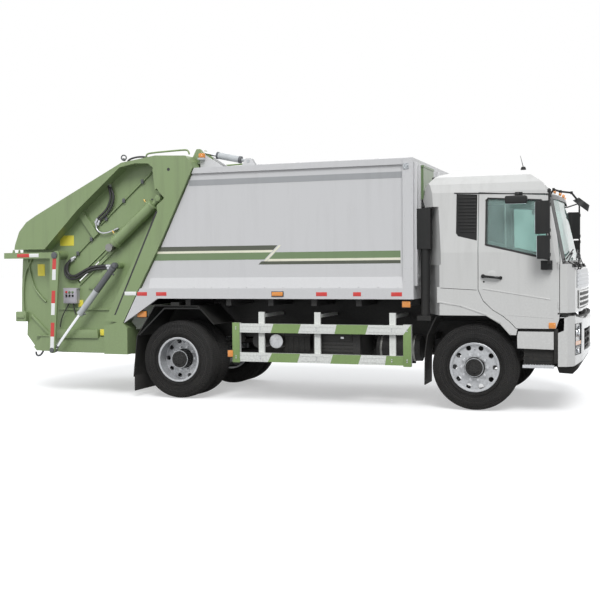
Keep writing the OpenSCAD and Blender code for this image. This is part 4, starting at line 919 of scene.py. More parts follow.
class TRUCK_OT_bin_lift(Build, bpy.types.Operator):
    """Tape, hinge caps, flanges and teeth of the bin lift"""

    bl_idname = "truck.bin_lift"
    bl_label = "Bin lift"

    def build(self, context):
        half = context.scene.truck_sizes.tape_width / 2 + 0.004

        def middle(z):
            return LIFT_PIN[0] - 0.069 * (LIFT_PIN[1] - z) / 1.315

        red = [(1.741, 1.939), (1.271, 1.445), (0.807, 1.001)]
        white = [(1.593, 1.741), (1.108, 1.271), (0.645, 0.807)]
        for finish, spans in (("tape_red", red), ("tape_white", white)):
            parts = [outline_plate(bar_strip(middle, a, b, half), BAR - SLEEVE, BAR + 0.001) for a, b in spans]
            arm = [(-3.716, -3.515)] if finish == "tape_red" else [(-3.515, -3.360)]
            parts += [slab((a, BAR - SLEEVE, 1.911), (b, BAR + 0.001, 1.961), 0.0004) for a, b in arm]
            assemble_pair("lift_" + finish, parts, finish, "lift_frame",
                "lamp_red" if finish == "tape_red" else "guard_paint")
        caps = [
            crossbar(*LIFT_PIN, BAR - 0.002, BAR - 0.016, 0.046, 32, 0.003),
            crossbar(*LIFT_FOOT, BAR - 0.0005, BAR - 0.012, 0.034, 28, 0.003),
        ]
        for turn in (0.5, 2.6, 4.7):
            x, z = LIFT_PIN[0] + 0.03 * math.cos(turn), LIFT_PIN[1] + 0.03 * math.sin(turn)
            caps.append(crossbar(x, z, BAR - 0.014, BAR - 0.021, 0.006, 6))
        assemble_pair("lift_caps", caps, "cylinder_paint", "lift_frame")
        flanges = [
            slab((-3.88, BAR + 0.034, 1.899), (-3.18, BAR + 0.048, 1.971), 0.003),
            slab((-3.905, -1.245, 1.898), (-3.885, -1.145, 1.972), 0.004),
        ]
        assemble_pair("lift_flanges", flanges, "tailgate_paint", "lift_frame")
        teeth = []
        for i in range(18):
            y = -1.105 + i * 0.13
            teeth.append(outline_plate(
                [(-3.925, 1.925), (-3.918, 1.985), (-3.908, 2.02), (-3.892, 2.02), (-3.888, 1.985),
                    (-3.872, 1.925)], y - 0.012, y + 0.012, 0.003
            ))
        assemble("comb", teeth, "tailgate_paint", "lift_frame")


class TRUCK_OT_cylinders(Build, bpy.types.Operator):
    """Glands, bands, ports and eyes of the tailgate's cylinders"""

    bl_idname = "truck.cylinders"
    bl_label = "Cylinders"

    def build(self, context):
        across = Vector((PACK["along"].z, 0, -PACK["along"].x))
        bands = [collar(PACK, 0.12, 0.165, 0.080), collar(PACK, 0.875, 0.925, 0.081),
            collar(PACK, 0.865, 0.878, 0.086, 0.002)]
        for at in (0.19, 0.83):
            spot = along(PACK, at) + 0.07 * across
            bands.append(drum(spot, spot + 0.03 * across, 0.020, 8, 0.002))
        bands.append(drum(along(PACK, 0) + Vector((0, -0.05, 0)), along(PACK, 0) + Vector((0, -0.066, 0)),
            0.042, 32, 0.003))
        assemble_pair("packing_bands", bands, "tailgate_paint", "tailgate")
        seal = [collar(PACK, 0.918, 0.932, 0.045, 0.002)]
        lugs = []
        for at in (0.19, 0.83):
            spot = along(PACK, at) + 0.098 * across
            lugs += [drum(spot, spot + 0.026 * across, 0.016, 6, 0.001),
                drum(spot + 0.02 * across, spot + 0.05 * across, 0.012, 16, 0.002)]
        assemble_pair("packing_ports", seal + lugs, "brass_fitting", "tailgate", "cylinder_grey")
        side = Vector((LIFT["along"].z, 0, -LIFT["along"].x))
        # Each lift barrel is dark over its upper part and pale over its lower part; these collars make the pale
        # part.
        pale = [collar(LIFT, 0.455, 0.855, 0.0452, 0.0)]
        pale += [collar(LIFT, 0.845, 0.872, 0.049), collar(LIFT, 0.450, 0.462, 0.047, 0.002)]
        assemble_pair("lift_pale_bands", pale, "cylinder_pale_paint", "lift_barrels")
        dark = [collar(LIFT, 0.04, 0.075, 0.048)]
        for at in (0.11, 0.815):
            spot = along(LIFT, at) - 0.040 * side
            dark.append(drum(spot, spot - 0.028 * side, 0.014, 8, 0.002))
        eye = along(LIFT, 0)
        dark += [drum(eye + Vector((0, -0.027, 0)), eye + Vector((0, -0.036, 0)), 0.030, 24, 0.002)]
        assemble_pair("lift_fittings", dark, "cylinder_paint", "lift_barrels")
        foot = Vector((LIFT_FOOT[0], -1.222, LIFT_FOOT[1]))
        eyes = [drum(foot + Vector((0, -0.0185, 0)), foot + Vector((0, 0.0185, 0)), 0.040, 36, 0.002)]
        nut = along(LIFT, 1.475)
        eyes.append(drum(nut, nut - 0.03 * LIFT["along"], 0.030, 6, 0.002))
        assemble_pair("lift_rod_eyes", eyes, "cylinder_paint", "lift_rods")
        roof = []
        for start, end, radius in ((0.115, 0.15, 0.048), (0.45, 0.478, 0.048)):
            spot, way = Vector((-0.3275, -0.91, 3.138)), Vector((-0.976515, 0, 0.215449))
            roof.append(drum(spot + start * way, spot + end * way, radius, 36, 0.002))
        assemble_pair("roof_glands", roof, "cylinder_paint", "roof_barrels")


HOSES = {
    # name: radius, finish, runs of (x, y, z)
    "hose_upper": (0.016, "hose_rubber", [
        [(-2.378, -1.062, 2.93), (-2.363, -1.075, 2.895), (-2.345, -1.085, 2.84), (-2.300, -1.09, 2.725),
            (-2.385, -1.09, 2.52), (-2.520, -1.09, 2.455), (-2.556, -1.08, 2.40)],
        [(-2.345, -1.062, 2.90), (-2.320, -1.08, 2.85), (-2.295, -1.085, 2.80), (-2.255, -1.09, 2.715),
            (-2.350, -1.09, 2.49), (-2.490, -1.09, 2.425), (-2.520, -1.08, 2.375)],
    ]),
    "hose_silver": (0.0115, "bare_aluminium", [
        [(-2.562, -1.075, 2.39), (-2.566, -1.075, 2.32), (-2.545, -1.08, 2.268), (-2.47, -1.085, 2.232),
            (-2.395, -1.085, 2.232), (-2.300, -1.08, 2.262), (-2.243, -1.072, 2.285)],
    ]),
    "pipe_twin": (0.0095, "tailgate_paint", [
        [(-1.696, -1.058, 3.047), (-1.95, -1.058, 2.83), (-2.25, -1.058, 2.58), (-2.483, -1.058, 2.375)],
        [(-1.715, -1.058, 3.020), (-1.97, -1.058, 2.802), (-2.27, -1.058, 2.552), (-2.500, -1.058, 2.350)],
        [(-2.525, -1.058, 2.268), (-2.70, -1.058, 2.11), (-2.88, -1.058, 1.955), (-2.962, -1.058, 1.882)],
        [(-2.550, -1.058, 2.243), (-2.72, -1.058, 2.088), (-2.90, -1.058, 1.93), (-2.985, -1.058, 1.857)],
    ]),
    "hose_lower": (0.0185, "hose_rubber", [
        [(-2.961, -1.065, 1.869), (-3.04, -1.08, 1.83), (-3.085, -1.085, 1.75), (-3.055, -1.085, 1.632),
            (-2.946, -1.085, 1.590), (-2.832, -1.085, 1.632), (-2.702, -1.085, 1.713), (-2.562, -1.08, 1.752),
            (-2.352, -1.068, 1.748)],
        [(-2.935, -1.065, 1.900), (-3.00, -1.09, 1.865), (-3.04, -1.10, 1.76), (-3.01, -1.10, 1.665),
            (-2.93, -1.10, 1.632), (-2.83, -1.10, 1.672), (-2.70, -1.10, 1.75), (-2.56, -1.09, 1.787),
            (-2.37, -1.068, 1.783)],
    ]),
    "hose_rim": (0.013, "hose_rubber", [
        [(-1.985, -1.20, 3.165), (-1.977, -1.205, 3.200), (-1.90, -1.205, 3.228), (-1.80, -1.205, 3.238),
            (-1.69, -1.205, 3.232), (-1.614, -1.205, 3.185), (-1.571, -1.19, 3.085)],
    ]),
    "cable": (0.008, "hose_rubber", [
        [(-3.016, -1.085, 1.262), (-3.035, -1.10, 1.205), (-3.10, -1.10, 1.123), (-3.15, -1.09, 1.02),
            (-3.17, -1.075, 0.93)],
        [(-2.94, -1.085, 1.262), (-2.935, -1.095, 1.18), (-2.90, -1.08, 1.10)],
    ]),
    "pipe_rear": (0.012, "tailgate_paint", [
        [(-3.635, -1.060, 1.905), (-3.645, -1.060, 1.852), (-3.72, -1.060, 1.76), (-3.775, -1.060, 1.592),
            (-3.79, -1.060, 1.305), (-3.775, -1.060, 1.115)],
        [(-3.700, -1.060, 1.88), (-3.655, -1.060, 1.66), (-3.62, -1.060, 1.50), (-3.52, -1.060, 1.37),
            (-3.407, -1.060, 1.282)],
    ]),
    "pipe_roof": (0.012, "tailgate_paint", [
        [(-1.812, -1.00, 3.215), (-1.812, -1.00, 3.290), (-1.79, -1.00, 3.306), (-1.50, -1.00, 3.316),
            (-1.20, -1.00, 3.327), (-1.172, -1.00, 3.318), (-1.160, -1.00, 3.262)],
    ]),
}

PLATES = [
    (-3.167, -2.942, 2.068, 2.212, -1.046), (-3.545, -3.427, 1.647, 1.814, -1.046),
    (-2.887, -2.808, 1.215, 1.308, -1.046), (-2.519, -2.363, 0.820, 0.907, -1.086),
]


class TRUCK_OT_hydraulics(Build, bpy.types.Operator):
    """Hoses, pipes, clips and blank plates on the tailgate's sides"""

    bl_idname = "truck.hydraulics"
    bl_label = "Hoses and pipes"

    def build(self, context):
        scale = context.scene.truck_sizes.hose / 0.036
        for name, (radius, finish, runs) in HOSES.items():
            assemble_pair(name, [pipe(run, radius * scale, 5, 3) for run in runs], finish, "tailgate",
                "black_plastic" if finish == "hose_rubber" else "tailgate_green", 50)
        ends = []
        for name in ("hose_upper", "hose_lower", "hose_silver"):
            radius, _, runs = HOSES[name]
            for run in runs:
                for first, second in ((run[0], run[1]), (run[-1], run[-2])):
                    first, second = Vector(first), Vector(second)
                    way = (second - first).normalized()
                    ends.append(drum(first - 0.012 * way, first + 0.045 * way, radius * 1.18, 14, 0.002))
                    ends.append(drum(first - 0.030 * way, first - 0.008 * way, radius * 1.35, 6, 0.001))
        assemble_pair("hose_ends", ends, "bare_aluminium", "tailgate", "cylinder_grey")
        clips = []
        for x, z in ((-1.83, 2.925), (-2.12, 2.677), (-2.40, 2.438), (-2.64, 2.158), (-2.86, 1.965)):
            clips.append(slab((x - 0.028, -1.078, z - 0.034), (x + 0.012, -1.044, z + 0.022), 0.004))
            clips.append(crossbar(x - 0.008, z - 0.006, -1.076, -1.084, 0.007, 6, 0.001))
        assemble_pair("pipe_clips", clips, "cylinder_paint", "tailgate")
        plates, rims = [], []
        for x0, x1, z0, z1, y in PLATES:
            plates.append(slab((x0, y - 0.003, z0), (x1, y + 0.001, z1), 0.0008))
            rims += [crossbar(x, z, y - 0.002, y - 0.0055, 0.004, 8, 0.0006) for x in (x0 + 0.012, x1 - 0.012)
                for z in (z0 + 0.012, z1 - 0.012)]
        assemble_pair("warning_plates", plates, "plate_yellow", "tailgate", "tailgate_green")
        assemble_pair("plate_rivets", rims, "bare_aluminium", "tailgate", "cylinder_grey")


class TRUCK_OT_tailgate_trim(Build, bpy.types.Operator):
    """Slot frame, ribs, painted shade in the post's openings, hooks, caps and the control box's buttons"""

    bl_idname = "truck.tailgate_trim"
    bl_label = "Tailgate trim"

    def build(self, context):
        x0, x1, z0, z1, y = -3.076, -2.864, 1.265, 1.474, SIDE - 0.080
        lid = [slab((x0 + 0.012, y - 0.006, z0 + 0.012), (x1 - 0.012, y + 0.002, z1 - 0.012), 0.003)]
        lid += [slab((x0 - 0.012, y + 0.01, z1 - 0.008), (x1 + 0.012, y + 0.078, z1 + 0.004), 0.003)]
        assemble_pair("box_lid", lid, "box_paint", "tailgate", "box_grey")
        for finish, spots in (
            ("red_lens", [(0.055, 0.155)]), ("stripe_paint", [(0.105, 0.155), (0.155, 0.155)]),
                ("gloss_black", [(0.055, 0.105), (0.105, 0.105), (0.155, 0.105)]),
        ):
            parts = []
            for dx, dz in spots:
                parts += [crossbar(x0 + dx, z0 + dz, y - 0.005, y - 0.012, 0.0165, 24, 0.001)]
                parts += [crossbar(x0 + dx, z0 + dz, y - 0.010, y - 0.024, 0.012, 20, 0.002)]
            assemble_pair("buttons_" + finish.split("_")[0], parts, finish, "tailgate",
                "lamp_red" if finish == "red_lens" else "black_plastic")
        seal = []
        upper, lower = Vector((-2.3185, 0, 2.0305)), Vector((-2.847, 0, 1.587))
        way, side = (lower - upper).normalized(), Vector((0.643, 0, -0.766))
        for shift in (-0.043, 0.043):
            a, b = upper + shift * side - 0.02 * way, lower + shift * side + 0.02 * way
            inner = -0.82 * shift
            outline = [a, b, b + inner * side, a + inner * side]
            seal.append(outline_plate([(p.x, p.z) for p in outline], SIDE - 0.004, SIDE + 0.006, 0.002))
        assemble_pair("slot_brushes", seal, "tailgate_paint", "tailgate")
        frame_edge = []
        for shift in (-0.052, 0.052):
            a, b = upper + shift * side - 0.05 * way, lower + shift * side + 0.05 * way
            outline = [a - 0.007 * side, b - 0.007 * side, b + 0.007 * side, a + 0.007 * side]
            frame_edge.append(outline_plate([(p.x, p.z) for p in outline], SIDE - 0.022, SIDE + 0.001, 0.003))
        assemble_pair("slot_frame", frame_edge, "tailgate_paint", "tailgate")
        trim = [
            slab((-3.205, SIDE - 0.022, 1.168), (-2.368, SIDE + 0.001, 1.190), 0.004),
            slab((-3.566, SIDE - 0.052, 0.790), (-2.614, SIDE - 0.001, 0.806), 0.004),
            slab((-3.880, SIDE - 0.075, 1.001), (-3.710, SIDE + 0.001, 1.142), 0.010),
            slab((-3.862, SIDE - 0.088, 1.050), (-3.730, SIDE - 0.070, 1.094), 0.006),
        ]
        trim.append(outline_plate([(-3.206, 0.772), (-3.200, 0.898), (-2.548, 0.900), (-2.540, 0.782)],
            SIDE - 0.070, SIDE + 0.001, 0.006))
        trim.append(outline_plate([(-2.71, 1.476), (-2.362, 1.817), (-2.311, 1.780), (-2.631, 1.453)],
            SIDE - 0.028, SIDE + 0.001, 0.004))
        trim.append(outline_plate([(-3.670, 1.078), (-3.640, 1.100), (-3.330, 0.820), (-3.372, 0.800)],
            SIDE - 0.022, SIDE + 0.001, 0.003))
        assemble_pair("tailgate_ribs", trim, "tailgate_paint", "tailgate")
        # Black plates flush with the post's face are painted shade where a slit and two round holes open into
        # the post.
        slit = [
            outline_plate([(-1.548, 2.498), (-1.520, 2.498), (-2.178, 1.118), (-2.204, 1.112)], -1.2412,
                POST_FACE),
            crossbar(-1.351, 3.048, -1.2405, -1.2365, 0.022, 28),
                crossbar(-1.60, 2.66, -1.241, -1.236, 0.012, 20),
        ]
        assemble_pair("post_opening_shade", slit, "hose_rubber", "tailgate", "black_plastic")
        tape = slab((-2.036, -1.2416, 1.382), (-1.862, POST_FACE, 1.431), 0.0005)
        assemble_pair("post_tape", [tape], "tape_white", "tailgate", "tailgate_green")
        hooks = [pipe([(-3.50, -1.00, 0.60), (-3.53, -1.00, 0.535), (-3.585, -1.00, 0.49),
            (-3.635, -1.00, 0.52), (-3.63, -1.00, 0.565)], 0.014, 5, 3)]
        hooks.append(crossbar(-2.155, 3.235, -0.98, -1.02, 0.020, 16, 0.003))
        clear_selection()
        bpy.ops.mesh.primitive_torus_add(location=(-2.155, -1.0, 3.262), rotation=(math.pi / 2, 0, 0.3),
            major_radius=0.034, minor_radius=0.009, major_segments=28, minor_segments=10)
        hooks.append(settled())
        assemble_pair("hooks", hooks, "cylinder_paint", "tailgate")
        hinge = []
        for y in (-0.75, -0.975):
            hinge.append(crossbar(*HINGE, y, y - 0.02, 0.046, 28, 0.003))
        assemble_pair("hinge_caps", hinge, "tailgate_paint", "tailgate")
        lamp = [drum((-0.965, -1.02, 3.20), (-0.965, -1.02, 3.262), 0.046, 28, 0.012)]
        assemble_pair("beacon", lamp, "amber_lens", "tailgate")
        foot = [slab((-1.010, -1.066, 3.172), (-0.920, -0.974, 3.202), 0.006)]
        assemble_pair("beacon_foot", foot, "cylinder_pale_paint", "tailgate")
        rear = []
        for y in (-0.86, -0.50, -0.14, 0.14, 0.50, 0.86):
            rear.append(outline_plate([(-3.588, 2.414), (-3.708, 2.284), (-3.779, 2.105), (-3.783, 2.090),
                (-3.755, 2.090), (-3.686, 2.27), (-3.572, 2.40)], y - 0.02, y + 0.02, 0.003))
        rear.append(slab((-3.818, -0.93, 2.062), (-3.770, 0.93, 2.098), 0.006))
        assemble("rear_ribs", rear, "tailgate_paint", "tailgate")


# ---------------------------------------------------------------- cab

LEAN = math.radians(12.1)
SCREEN_BASE = (FRONT_AXLE + 1.125, 1.754)
SCREEN_PLAN = [(0.0, 0.0), (0.6, -0.022), (0.99, -0.062), (1.18, -0.105), (1.235, -0.157)]
NOSE_BACK = [(1.19, 0.022), (1.30, 0.0), (1.52, 0.010), (1.68, 0.052), (1.754, 0.107)]  # by height
NOSE_PLAN = [(0.0, 1.232), (0.70, 1.205), (1.07, 1.160), (1.215, 1.085), (1.239, 0.992)]


def sheet(rows, thickness):
    """A curved sheet through rows of points, given a thickness."""
    clear_selection()
    wide, high = len(rows[0]), len(rows)
    bpy.ops.mesh.primitive_grid_add(x_subdivisions=wide - 1, y_subdivisions=high - 1, size=1)
    piece = bpy.context.object
    for vertex, point in zip(piece.data.vertices, [p for row in rows for p in row]):
        vertex.co = point
    bpy.ops.object.modifier_add(type="SOLIDIFY")
    skin = piece.modifiers[-1]
    skin.thickness, skin.offset = thickness, 0
    bpy.ops.object.modifier_apply(modifier=skin.name)
    bpy.ops.object.mode_set(mode="EDIT")
    close_edit()
    return piece


def between(table, at):
    """The value of a table of (place, value) at a place. Places across the cab count from its middle."""
    at = abs(at)
    for (p0, v0), (p1, v1) in zip(table, table[1:]):
        if at <= p1:
            return v0 + (v1 - v0) * (at - p0) / (p1 - p0)
    return table[-1][1]


def on_screen(y, up, out=0.0):
    """A point of the cab's face on the windshield's leaning plane, so far up from its base."""
    x = between(SCREEN_PLAN, y) + out
    return (
        SCREEN_BASE[0] + x * math.cos(LEAN) - up * math.sin(LEAN), y,
            SCREEN_BASE[1] + x * math.sin(LEAN) + up * math.cos(LEAN)
    )


def on_nose(y, z, out=0.0):
    """A point of the cab's face below the windshield."""
    face = FRONT_AXLE + min(between(NOSE_PLAN, y), 1.232 - between(NOSE_BACK, z))
    return (face + out, y, z)


def steps(start, end, count):
    return [start + (end - start) * i / count for i in range(count + 1)]


def nose_sheet(half, heights, count, out, thickness):
    """A sheet over the cab's face below the windshield, as wide to each side as half."""
    return sheet([[on_nose(y, z, out) for y in steps(-half, half, count)] for z in heights], thickness)


def nose_slat(half, z, reach, fall, thickness):
    """A slat of the cab's face whose edges fall back from its middle."""
    return sheet([
        [on_nose(y, z + dz, 0.012 - abs(dz) * fall) for y in steps(-half, half, 26)]
            for dz in (-reach, 0.0, reach)
    ], thickness)


def cab_side(z):
    """Where the cab's side stands at a height."""
    return -BODY_SIDE + max(0.0, z - 1.9) * 0.1


def side_line(points, out=0.0):
    return [(x, cab_side(z) - out, z) for x, z in points]


def bar(points, radius):
    """A bar that turns sharp corners."""
    return [drum(a, b, radius, BAR_SIDES) for a, b in zip(points, points[1:])]


WINDOW = [(2.8125, 2.515), (2.835, 2.538), (3.4425, 2.500), (3.4865, 2.458), (3.5405, 1.815), (2.8125, 1.992)]


class TRUCK_OT_cab_front(Build, bpy.types.Operator):
    """Border of the windshield, cowl, wipers, grille panel and slots"""

    bl_idname = "truck.cab_front"
    bl_label = "Cab front"

    def build(self, context):
        rim = 0.0022
        parts = []
        for side in (-1, 1):
            rows = []
            for up in steps(0.012, 0.80, 10):
                share = up / 0.8
                inner, outer = 1.040 - 0.042 * share, 1.150 - 0.060 * share
                rows.append([on_screen(side * y, up, rim) for y in steps(inner - 0.012, outer, 4)])
            parts.append(sheet(rows, 0.003))
        for half, heights in ((1.10, (0.795, 0.822, 0.850)), (1.14, (-0.004, 0.02, 0.046))):
            parts.append(sheet([[on_screen(y, up, rim) for y in steps(-half, half, 24)] for up in heights],
                0.003))
        assemble("screen_border", parts, "gloss_black", "cab")
        assemble("cowl", [nose_sheet(1.13, (1.715, 1.735, 1.752), 28, 0.004, 0.006)], "moulded_plastic", "cab")
        wipers = []
        for y in (-0.82, -0.02, 0.76):
            pivot = Vector(on_nose(y - 0.28, 1.735, 0.018))
            elbow = Vector(on_screen(y - 0.20, 0.035, 0.030))
            hold = Vector(on_screen(y + 0.10, 0.125, 0.030))
            wipers += bar([pivot, elbow, hold], 0.007)
            wipers.append(drum(pivot + Vector((-0.012, 0, 0)), pivot + Vector((0.016, 0, 0.004)), 0.020, 18,
                0.003))
            a, b = Vector(on_screen(y - 0.22, 0.072, 0.018)), Vector(on_screen(y + 0.40, 0.178, 0.018))
            wipers += bar([a, b], 0.008)
            wipers.append(drum(hold + (b - a).normalized() * -0.04, hold + (b - a).normalized() * 0.04, 0.012,
                12, 0.002))
        for y in (-0.98, -0.60):
            grip = [on_nose(y, 1.69, 0.004), on_nose(y, 1.70, 0.052), on_nose(y, 1.76, 0.056),
                on_nose(y, 1.775, 0.006)]
            wipers.append(pipe(grip, 0.008, 5, 3))
        assemble("wipers", wipers, "moulded_plastic", "cab")
        panel = nose_sheet(0.98, steps(1.47, 1.69, 8), 26, 0.004, 0.007)
        slats = [nose_slat(0.95, z, 0.009, 0.6, 0.006) for z in (1.50, 1.545, 1.59, 1.635)]
        assemble("grille_panel", [panel] + slats, "bare_aluminium", "cab", "guard_paint")
        assemble("grille_slots", [nose_sheet(0.88, steps(1.225, 1.44, 6), 26, 0.003, 0.006)],
            "moulded_plastic", "cab")
        bars = [nose_slat(0.88, z, 0.011, 1, 0.008) for z in (1.245, 1.305, 1.365, 1.425)]
        for y in (-0.885, 0.885):
            bars.append(sheet([[on_nose(y + dy, z, 0.010) for dy in (-0.012, 0.012)]
                for z in steps(1.23, 1.44, 6)], 0.008))
        assemble("grille_bars", bars, "cab_paint", "cab")
        lamps = []
        for y in (-0.72, -0.24, 0.24, 0.72):
            x, _, z = on_screen(y, 0.862)
            lamps.append(drum((x - 0.03, y, z + 0.036), (x + 0.002, y, z + 0.026), 0.024, 20, 0.006))
        assemble("roof_lamps", lamps, "amber_lens", "cab")


class TRUCK_OT_cab_sides(Build, bpy.types.Operator):
    """Louvres, gaskets, handles, creases and seams of the cab's sides, painted shade in the gap under each
    door, its steps and its antenna
    """

    bl_idname = "truck.cab_sides"
    bl_label = "Cab sides"

    def build(self, context):
        slats = []
        for z in steps(2.15, 2.55, 10):
            y = cab_side(z) + 0.004
            low = 2.480 + (0.02 if z < 2.2 else 0.0)
            slats.append(outline_plate([(y + 0.010, z - 0.012), (y - 0.003, z - 0.006), (y + 0.001, z + 0.006),
                (y + 0.010, z + 0.010)], low, 2.690, 0.001, 0))
        assemble_pair("quarter_louvres", slats, "moulded_plastic", "cab")
        gasket = []
        ring = WINDOW + WINDOW[:1]
        gasket += bar(side_line(ring, -0.004), 0.010)
        gasket += [drum((x, cab_side(z) + 0.013, z), (x, cab_side(z) - 0.006, z), 0.0105, 14) for x,
            z in WINDOW]
        sill = side_line([(2.815, 1.984), (3.535, 1.808)], 0.001)
        gasket += bar(sill, 0.007)
        divide = side_line([(2.83, 2.0), (2.83, 2.52)], -0.02)
        gasket += bar(divide, 0.006)
        assemble_pair("window_gasket", gasket, "tyre_rubber", DOORS, "black_plastic")
        handle = [pipe([(2.783, -1.243, 1.618), (2.787, -1.268, 1.617), (2.84, -1.279, 1.610),
            (2.94, -1.279, 1.600), (2.983, -1.268, 1.597), (2.987, -1.243, 1.597)], 0.015, 5, 4)]
        handle.append(crossbar(2.783, 1.618, -1.238, -1.262, 0.024, 24, 0.004))
        handle.append(crossbar(2.987, 1.597, -1.238, -1.256, 0.021, 24, 0.004))
        handle.append(crossbar(2.791, 1.552, -1.239, -1.2445, 0.011, 18, 0.002))
        assemble_pair("door_handles", handle, "gloss_black", DOORS)
        dish = crossbar(2.885, 1.622, -1.2385, -1.2415, 0.062, 36, 0.002)
        crease = outline_plate([(2.775, 1.462), (2.775, 1.478), (3.560, 1.352), (3.560, 1.336)], -1.2445,
            -1.238, 0.003)
        lower = outline_plate([(3.02, 1.16), (3.02, 1.168), (3.59, 1.132), (3.59, 1.124)], -1.242, -1.238,
            0.001)
        assemble_pair("door_creases", [dish, crease, lower], "cab_paint", DOORS)
        marker = slab((3.537, -1.252, 1.008), (3.618, -1.238, 1.076), 0.006)
        assemble_pair("door_markers", [marker], "amber_lens", DOORS)
        trim = [outline_plate([(2.272, 1.481), (2.272, 1.475), (2.705, 1.450), (2.705, 1.456)], -1.2406,
            -1.2385)]
        trim.append(outline_plate([(2.43, 2.618), (2.43, 2.606), (3.525, 2.560), (3.525, 2.574)], -1.176,
            -1.160, 0.002))
        assemble_pair("cab_seams", trim, "tyre_rubber", "cab", "black_plastic")
        band = []
        arch = [(2.245, 1.302), (2.51, 1.258), (2.81, 1.155), (2.98, 1.056), (3.09, 0.93)]
        for a, b in zip(arch, arch[1:]):
            band.append(outline_plate([a, (a[0] + 0.006, a[1] + 0.022), (b[0] + 0.018, b[1] + 0.010), b],
                -1.246, -1.238, 0.002))
        assemble_pair("arch_lips", band, "cab_paint", "cab")
        # The first strip is black painted shade that fills the gap under the door; the rest line the step
        # wells.
        fillers = [
            slab((3.17, -1.198, 0.970), (3.592, -1.172, 0.999), 0.002),
                slab((3.2485, -1.180, 0.574), (3.592, -1.1745, 0.762), 0.002),
            slab((3.596, -1.222, 0.600), (3.640, -1.165, 1.000), 0.003),
        ]
        fillers += [slab((3.2485, -1.186, z), (3.592, -1.178, z + 0.012), 0.002) for z in (0.62, 0.67, 0.72)]
        assemble_pair("step_wells_and_door_gap_shade", fillers, "moulded_plastic", "chassis")
        tread = [slab((3.238, -1.238, 0.541), (3.597, -1.222, 0.578), 0.004),
            slab((3.242, -1.228, 0.5715), (3.595, -1.148, 0.5785), 0.002)]
        tread += [slab((3.26 + 0.03 * i, -1.216, 0.578), (3.272 + 0.03 * i, -1.156, 0.583), 0.001)
            for i in range(11)]
        assemble_pair("step_treads", tread, "bare_aluminium", "chassis")
        roof = [
            drum((3.157, -0.45, 2.925), (3.157, -0.45, 2.962), 0.036, 24, 0.004, 0.024),
            drum((3.157, -0.45, 2.955), (3.12, -0.45, 3.10), 0.005, 10, 0.0, 0.002),
        ]
        assemble("antenna", roof, "moulded_plastic", "cab")
        lights = [slab((2.105, y - 0.045, 2.795), (2.165, y + 0.045, 2.835), 0.010) for y in (-0.86, 0.86)]
        assemble("rear_roof_lamps", lights, "moulded_plastic", "cab")


class TRUCK_OT_mirrors(Build, bpy.types.Operator):
    """Kerb mirrors, mirror glass, clamps and pads of the cab's mirrors"""

    bl_idname = "truck.mirrors"
    bl_label = "Mirrors"

    def build(self, context):
        kerb = [pad((3.06, -1.435, 2.452), (3.31, -1.315, 2.545), 0.022),
            drum((3.19, -1.38, 2.53), (3.19, -1.38, 2.572), 0.020, 20, 0.003)]
        kerb += bar([Vector((3.19, -1.38, 2.56)), Vector((3.19, -1.20, 2.582))], 0.011)
        kerb += [pad((3.145, -1.20, 2.555), (3.235, -1.165, 2.60), 0.008),
            pad((3.46, -1.308, 1.688), (3.575, -1.238, 1.792), 0.010)]
        assemble_pair("kerb_mirrors", kerb, "moulded_plastic", DOORS)
        arm = 3.5575  # the line of the arm that holds the mirrors
        clamps = [
            drum((arm, -1.405, z - 0.02), (arm, -1.405, z + 0.02), 0.019, 18, 0.003)
                for z in (2.43, 2.14, 2.06, 1.86)
        ]
        clamps += [drum((arm, -1.402, z - 0.016), (arm, -1.402, z + 0.022), 0.021, 20, 0.005)
            for z in (2.585, 1.775)]
        clamps += [pad((3.404, -1.452, 2.098), (3.470, -1.378, 2.477), 0.014),
            pad((3.424, -1.452, 1.813), (3.480, -1.378, 2.082), 0.014)]
        forward = Matrix.Translation((LEFT_MIRROR_LEAD, 0, 0))
        _, left = assemble_pair("mirror_clamps", clamps, "moulded_plastic", DOORS)
        left.data.transform(forward)
        glass = [slab((3.4015, -1.443, 2.114), (3.4045, -1.387, 2.461), 0.0005),
            slab((3.4215, -1.443, 1.829), (3.4245, -1.387, 2.066), 0.0005)]
        _, left = assemble_pair("mirror_glass", glass, "mirror_glass", DOORS)
        left.data.transform(forward)
        kerb_glass = [slab((3.075, -1.42, 2.4495), (3.295, -1.33, 2.4515), 0.0005)]
        assemble_pair("kerb_mirror_glass", kerb_glass, "mirror_glass", DOORS)


# ---------------------------------------------------------------- bumper, lamps and chassis

BUMPER_PLAN = [(0.0, 1.265), (0.42, 1.255), (0.78, 1.225), (1.12, 1.165), (1.228, 1.085), (1.24, 0.98)]


def on_bumper(y, z, out=0.0):
    """A point of the bumper's face; its foot leans back."""
    back = max(0.0, 0.70 - z) * 0.55
    return (FRONT_AXLE + between(BUMPER_PLAN, y) - back + out, y, z)


def band(y0, y1, z0, z1, out, thickness=0.006, count=12):
    """A strip that follows the bumper's face."""
    return sheet([[on_bumper(y, z, out) for y in steps(y0, y1, count)] for z in (z0, (z0 + z1) / 2, z1)],
        thickness)


